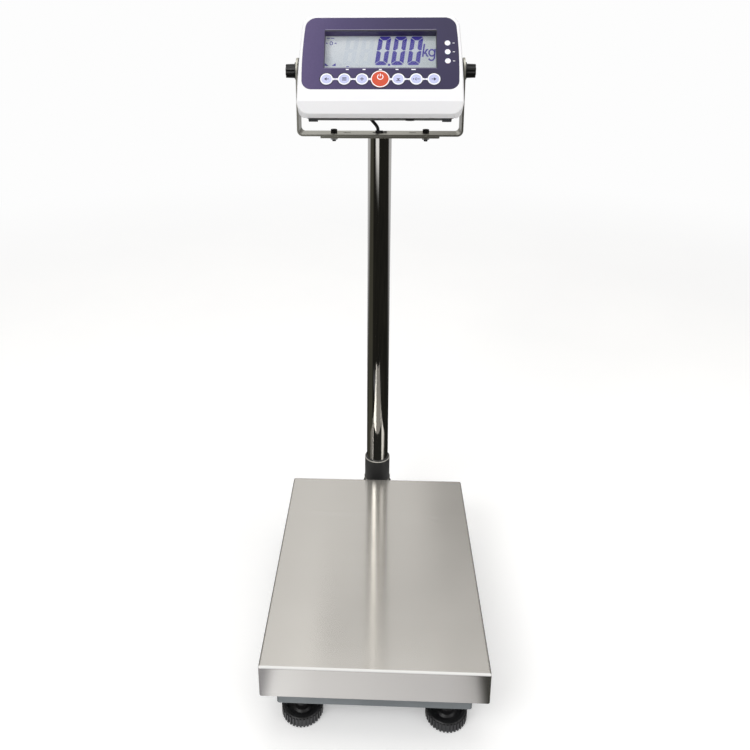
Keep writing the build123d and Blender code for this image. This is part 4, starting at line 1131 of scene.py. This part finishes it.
def floor_material():
    g = Graph("studio_floor")
    path = g.node("ShaderNodeLightPath")
    x, y, z = g.split(g.geo.outputs["Position"])
    dist = g.math("SQRT", g.math("ADD", g.math("MULTIPLY", x, x), g.math("MULTIPLY", y, y)))
    mottle = g.noise(3.0, 4.0, 0.6)
    fine = g.noise(240.0, 2.0, 0.6)
    c = g.mix(g.span(mottle, 0.3, 0.7), lin(238, 238, 237), lin(234, 234, 234))
    g.set(Base_Color=c, Roughness=0.75, Normal=g.bump(fine, 0.00008, 0.3))
    g.p.inputs["Specular IOR Level"].default_value = 0.15
    far = g.node("ShaderNodeEmission")
    far.inputs[0].default_value = BACK
    fade = g.math("MULTIPLY", path.outputs["Is Camera Ray"], g.span(dist, 0.9, 3.2, smooth=True))
    seen = g.node("ShaderNodeMixShader")
    g.put(seen.inputs[0], fade)
    lift = g.node("ShaderNodeEmission")
    lift.inputs[0].default_value = (0.30, 0.30, 0.302, 1)
    lift.inputs[1].default_value = 1.0
    raised = g.node("ShaderNodeAddShader")
    g.put(raised.inputs[0], g.p.outputs[0])
    g.put(raised.inputs[1], lift.outputs[0])
    only_seen = g.node("ShaderNodeMixShader")
    g.put(only_seen.inputs[0], path.outputs["Is Camera Ray"])
    g.put(only_seen.inputs[1], g.p.outputs[0])
    g.put(only_seen.inputs[2], raised.outputs[0])
    g.put(seen.inputs[1], only_seen.outputs[0])
    g.put(seen.inputs[2], far.outputs[0])
    # painted reflection: glossy rays that reach the floor see a painted dark room with a pale strip down the
    # middle, which the polished column mirrors
    painted_reflection = g.node("ShaderNodeEmission")
    ratio = g.math("DIVIDE", x, g.math("ABSOLUTE", g.math("SUBTRACT", y, pole_y)))
    strip = g.math("MULTIPLY", g.span(ratio, -0.88, -0.68, smooth=True), g.span(ratio, -0.16, -0.02, 1.0, 0.0, smooth=True))
    strip = g.math("MULTIPLY", strip, g.span(y, -3.6, -2.0, 1.0, 0.0, smooth=True))
    behind = g.span(y, 0.4, 1.6, smooth=True)
    dark = g.mix(g.span(mottle, 0.3, 0.7), (0.010, 0.010, 0.009, 1), (0.022, 0.021, 0.017, 1))
    dark = g.mix(g.span(ratio, -2.2, -1.2, 1.0, 0.0, smooth=True), dark, (0.062, 0.060, 0.046, 1))
    painted_room = g.mix(behind, dark, (0.55, 0.55, 0.56, 1))
    painted_room = g.mix(strip, painted_room, (1.0, 1.0, 1.0, 1))
    # painted reflection: the floor beside the plate, as its side folds mirror it, painted mid grey for glossy rays
    beside = g.span(path.outputs["Ray Length"], 0.20, 0.25, 1.0, 0.0, smooth=True)
    wide = g.math("MULTIPLY", g.span(g.math("ABSOLUTE", x), 0.15, 0.19, smooth=True), g.span(y, -0.10, -0.04, 1.0, 0.0, smooth=True))
    wide = g.math("MULTIPLY", wide, g.span(path.outputs["Ray Length"], 0.30, 0.50, 1.0, 0.0, smooth=True))
    painted_room = g.mix(g.math("MAXIMUM", beside, wide), painted_room, (0.50, 0.50, 0.49, 1))
    # painted reflection: bright and dark bands across the floor just in front, which the plate's front fold
    # mirrors
    near = g.span(path.outputs["Ray Length"], 0.45, 0.75, 1.0, 0.0, smooth=True)
    near = g.math("MULTIPLY", near, g.span(y, -0.24, -0.20, 1.0, 0.0, smooth=True))
    painted_near_bands = g.ramp(
        g.span(x, -0.5, 0.5),
        (0.0, (0.40, 0.40, 0.42, 1)),
        (0.338, (0.45, 0.45, 0.48, 1)),
        (0.354, (1.35, 1.36, 1.40, 1)),
        (0.415, (1.10, 1.10, 1.13, 1)),
        (0.60, (0.92, 0.92, 0.95, 1)),
        (0.645, (0.80, 0.80, 0.82, 1)),
        (0.658, (0.05, 0.05, 0.045, 1)),
    )
    painted_room = g.mix(near, painted_room, painted_near_bands)
    g.put(painted_reflection.inputs[0], painted_room)
    last = g.node("ShaderNodeMixShader")
    g.put(last.inputs[0], path.outputs["Is Glossy Ray"])
    g.put(last.inputs[1], seen.outputs[0])
    g.put(last.inputs[2], painted_reflection.outputs[0])
    g.t.links.new(last.outputs[0], g.out.inputs[0])
    return g.m


def floor_mesh(bm):
    bmesh.ops.create_grid(bm, x_segments=24, y_segments=24, size=9.0)
    for v in bm.verts:
        v.co.z = -0.0002


floor = make("studio_floor", floor_mesh, floor_material(), None)

world = bpy.data.worlds.new("studio")
bpy.context.scene.world = world
world.use_nodes = True
wt = world.node_tree
wt.nodes.clear()
w_out = wt.nodes.new("ShaderNodeOutputWorld")
w_mix = wt.nodes.new("ShaderNodeMixShader")
w_path = wt.nodes.new("ShaderNodeLightPath")
w_seen = wt.nodes.new("ShaderNodeBackground")
w_seen.inputs[0].default_value = BACK
w_room = wt.nodes.new("ShaderNodeBackground")
w_coord = wt.nodes.new("ShaderNodeTexCoord")
w_split = wt.nodes.new("ShaderNodeSeparateXYZ")
wt.links.new(w_coord.outputs["Generated"], w_split.inputs[0])
w_ramp = wt.nodes.new("ShaderNodeValToRGB")
w_map = wt.nodes.new("ShaderNodeMapRange")
w_map.inputs[1].default_value = -1.0
w_map.inputs[2].default_value = 1.0
wt.links.new(w_split.outputs[2], w_map.inputs[0])
wt.links.new(w_map.outputs[0], w_ramp.inputs[0])
stops = [(0.0, 0.05), (0.50, 0.22), (0.60, 0.42), (0.78, 0.62), (1.0, 0.80)]
e = w_ramp.color_ramp.elements
while len(e) < len(stops):
    e.new(0.5)
for i, (place, v) in enumerate(stops):
    e[i].position = place
    e[i].color = (v, v * 0.985, v * 0.96, 1)
wt.links.new(w_ramp.outputs[0], w_room.inputs[0])
w_room.inputs[1].default_value = 0.74
wt.links.new(w_path.outputs["Is Camera Ray"], w_mix.inputs[0])
wt.links.new(w_room.outputs[0], w_mix.inputs[1])
wt.links.new(w_seen.outputs[0], w_mix.inputs[2])
wt.links.new(w_mix.outputs[0], w_out.inputs[0])


def area(name, at, to, size, power, colour=(1, 1, 1), size_y=None):
    data = bpy.data.lights.new(name, "AREA")
    data.shape = "RECTANGLE"
    data.size = size
    data.size_y = size_y or size
    data.energy = power
    data.color = colour
    ob = bpy.data.objects.new(name, data)
    ob.location = at
    ob.rotation_mode = "QUATERNION"
    ob.rotation_quaternion = (Vector(to) - Vector(at)).to_track_quat("-Z", "Y")
    ob.visible_camera = False
    bpy.context.scene.collection.objects.link(ob)
    return ob


area("key_softbox", (-1.5, -2.0, 2.5), (0, 0, 0.5), 1.6, 40)
area("fill_softbox", (2.0, -1.2, 1.5), (0, 0, 0.5), 1.5, 11)
area("top_softbox", (0.1, 0.2, 2.9), (0, 0, 0.4), 2.0, 18)
area("back_softbox", (-0.6, 2.6, 1.9), (0, 0, 0.4), 1.8, 5)

# camera at the viewing angle of a person standing in front
cam_data = bpy.data.cameras.new("front_camera")
cam = bpy.data.objects.new("front_camera", cam_data)
bpy.context.scene.collection.objects.link(cam)
CAM_AT = Vector((0.00537, deck_y - 0.91852, 0.92247))
yaw, pitch, roll = math.radians(-2.53), math.radians(17.53), math.radians(-0.24)
ahead = Vector((math.sin(yaw), math.cos(yaw), 0.0))
right = Vector((math.cos(yaw), -math.sin(yaw), 0.0))
up0 = Vector((0, 0, 1))
fwd = ahead * math.cos(pitch) - up0 * math.sin(pitch)
up = up0 * math.cos(pitch) + ahead * math.sin(pitch)
r2 = right * math.cos(roll) + up * math.sin(roll)
u2 = up * math.cos(roll) - right * math.sin(roll)
cam.matrix_world = Matrix(
    (
        (r2.x, u2.x, -fwd.x, CAM_AT.x),
        (r2.y, u2.y, -fwd.y, CAM_AT.y),
        (r2.z, u2.z, -fwd.z, CAM_AT.z),
        (0, 0, 0, 1),
    )
)
cam_data.sensor_width = 36.0
cam_data.sensor_fit = "HORIZONTAL"
cam_data.lens = 724.8 * 36.0 / 750.0
cam_data.clip_start, cam_data.clip_end = 0.05, 60.0
# the picture is off centre only from this one place, so the shift goes away when the camera is moved round
for prop, amount in (("shift_x", 0.0311), ("shift_y", -0.1788)):
    driver = cam_data.driver_add(prop).driver
    driver.type = "SCRIPTED"
    var = driver.variables.new()
    var.name = "p"
    var.type = "TRANSFORMS"
    var.targets[0].id = cam
    var.targets[0].transform_type = "LOC_X"
    var.targets[0].transform_space = "WORLD_SPACE"
    driver.expression = f"{amount} if abs(p-{CAM_AT.x:.6f})<1e-4 else 0.0"
bpy.context.scene.camera = cam
bpy.context.scene.view_settings.view_transform = "Standard"
bpy.context.scene.view_settings.look = "None"
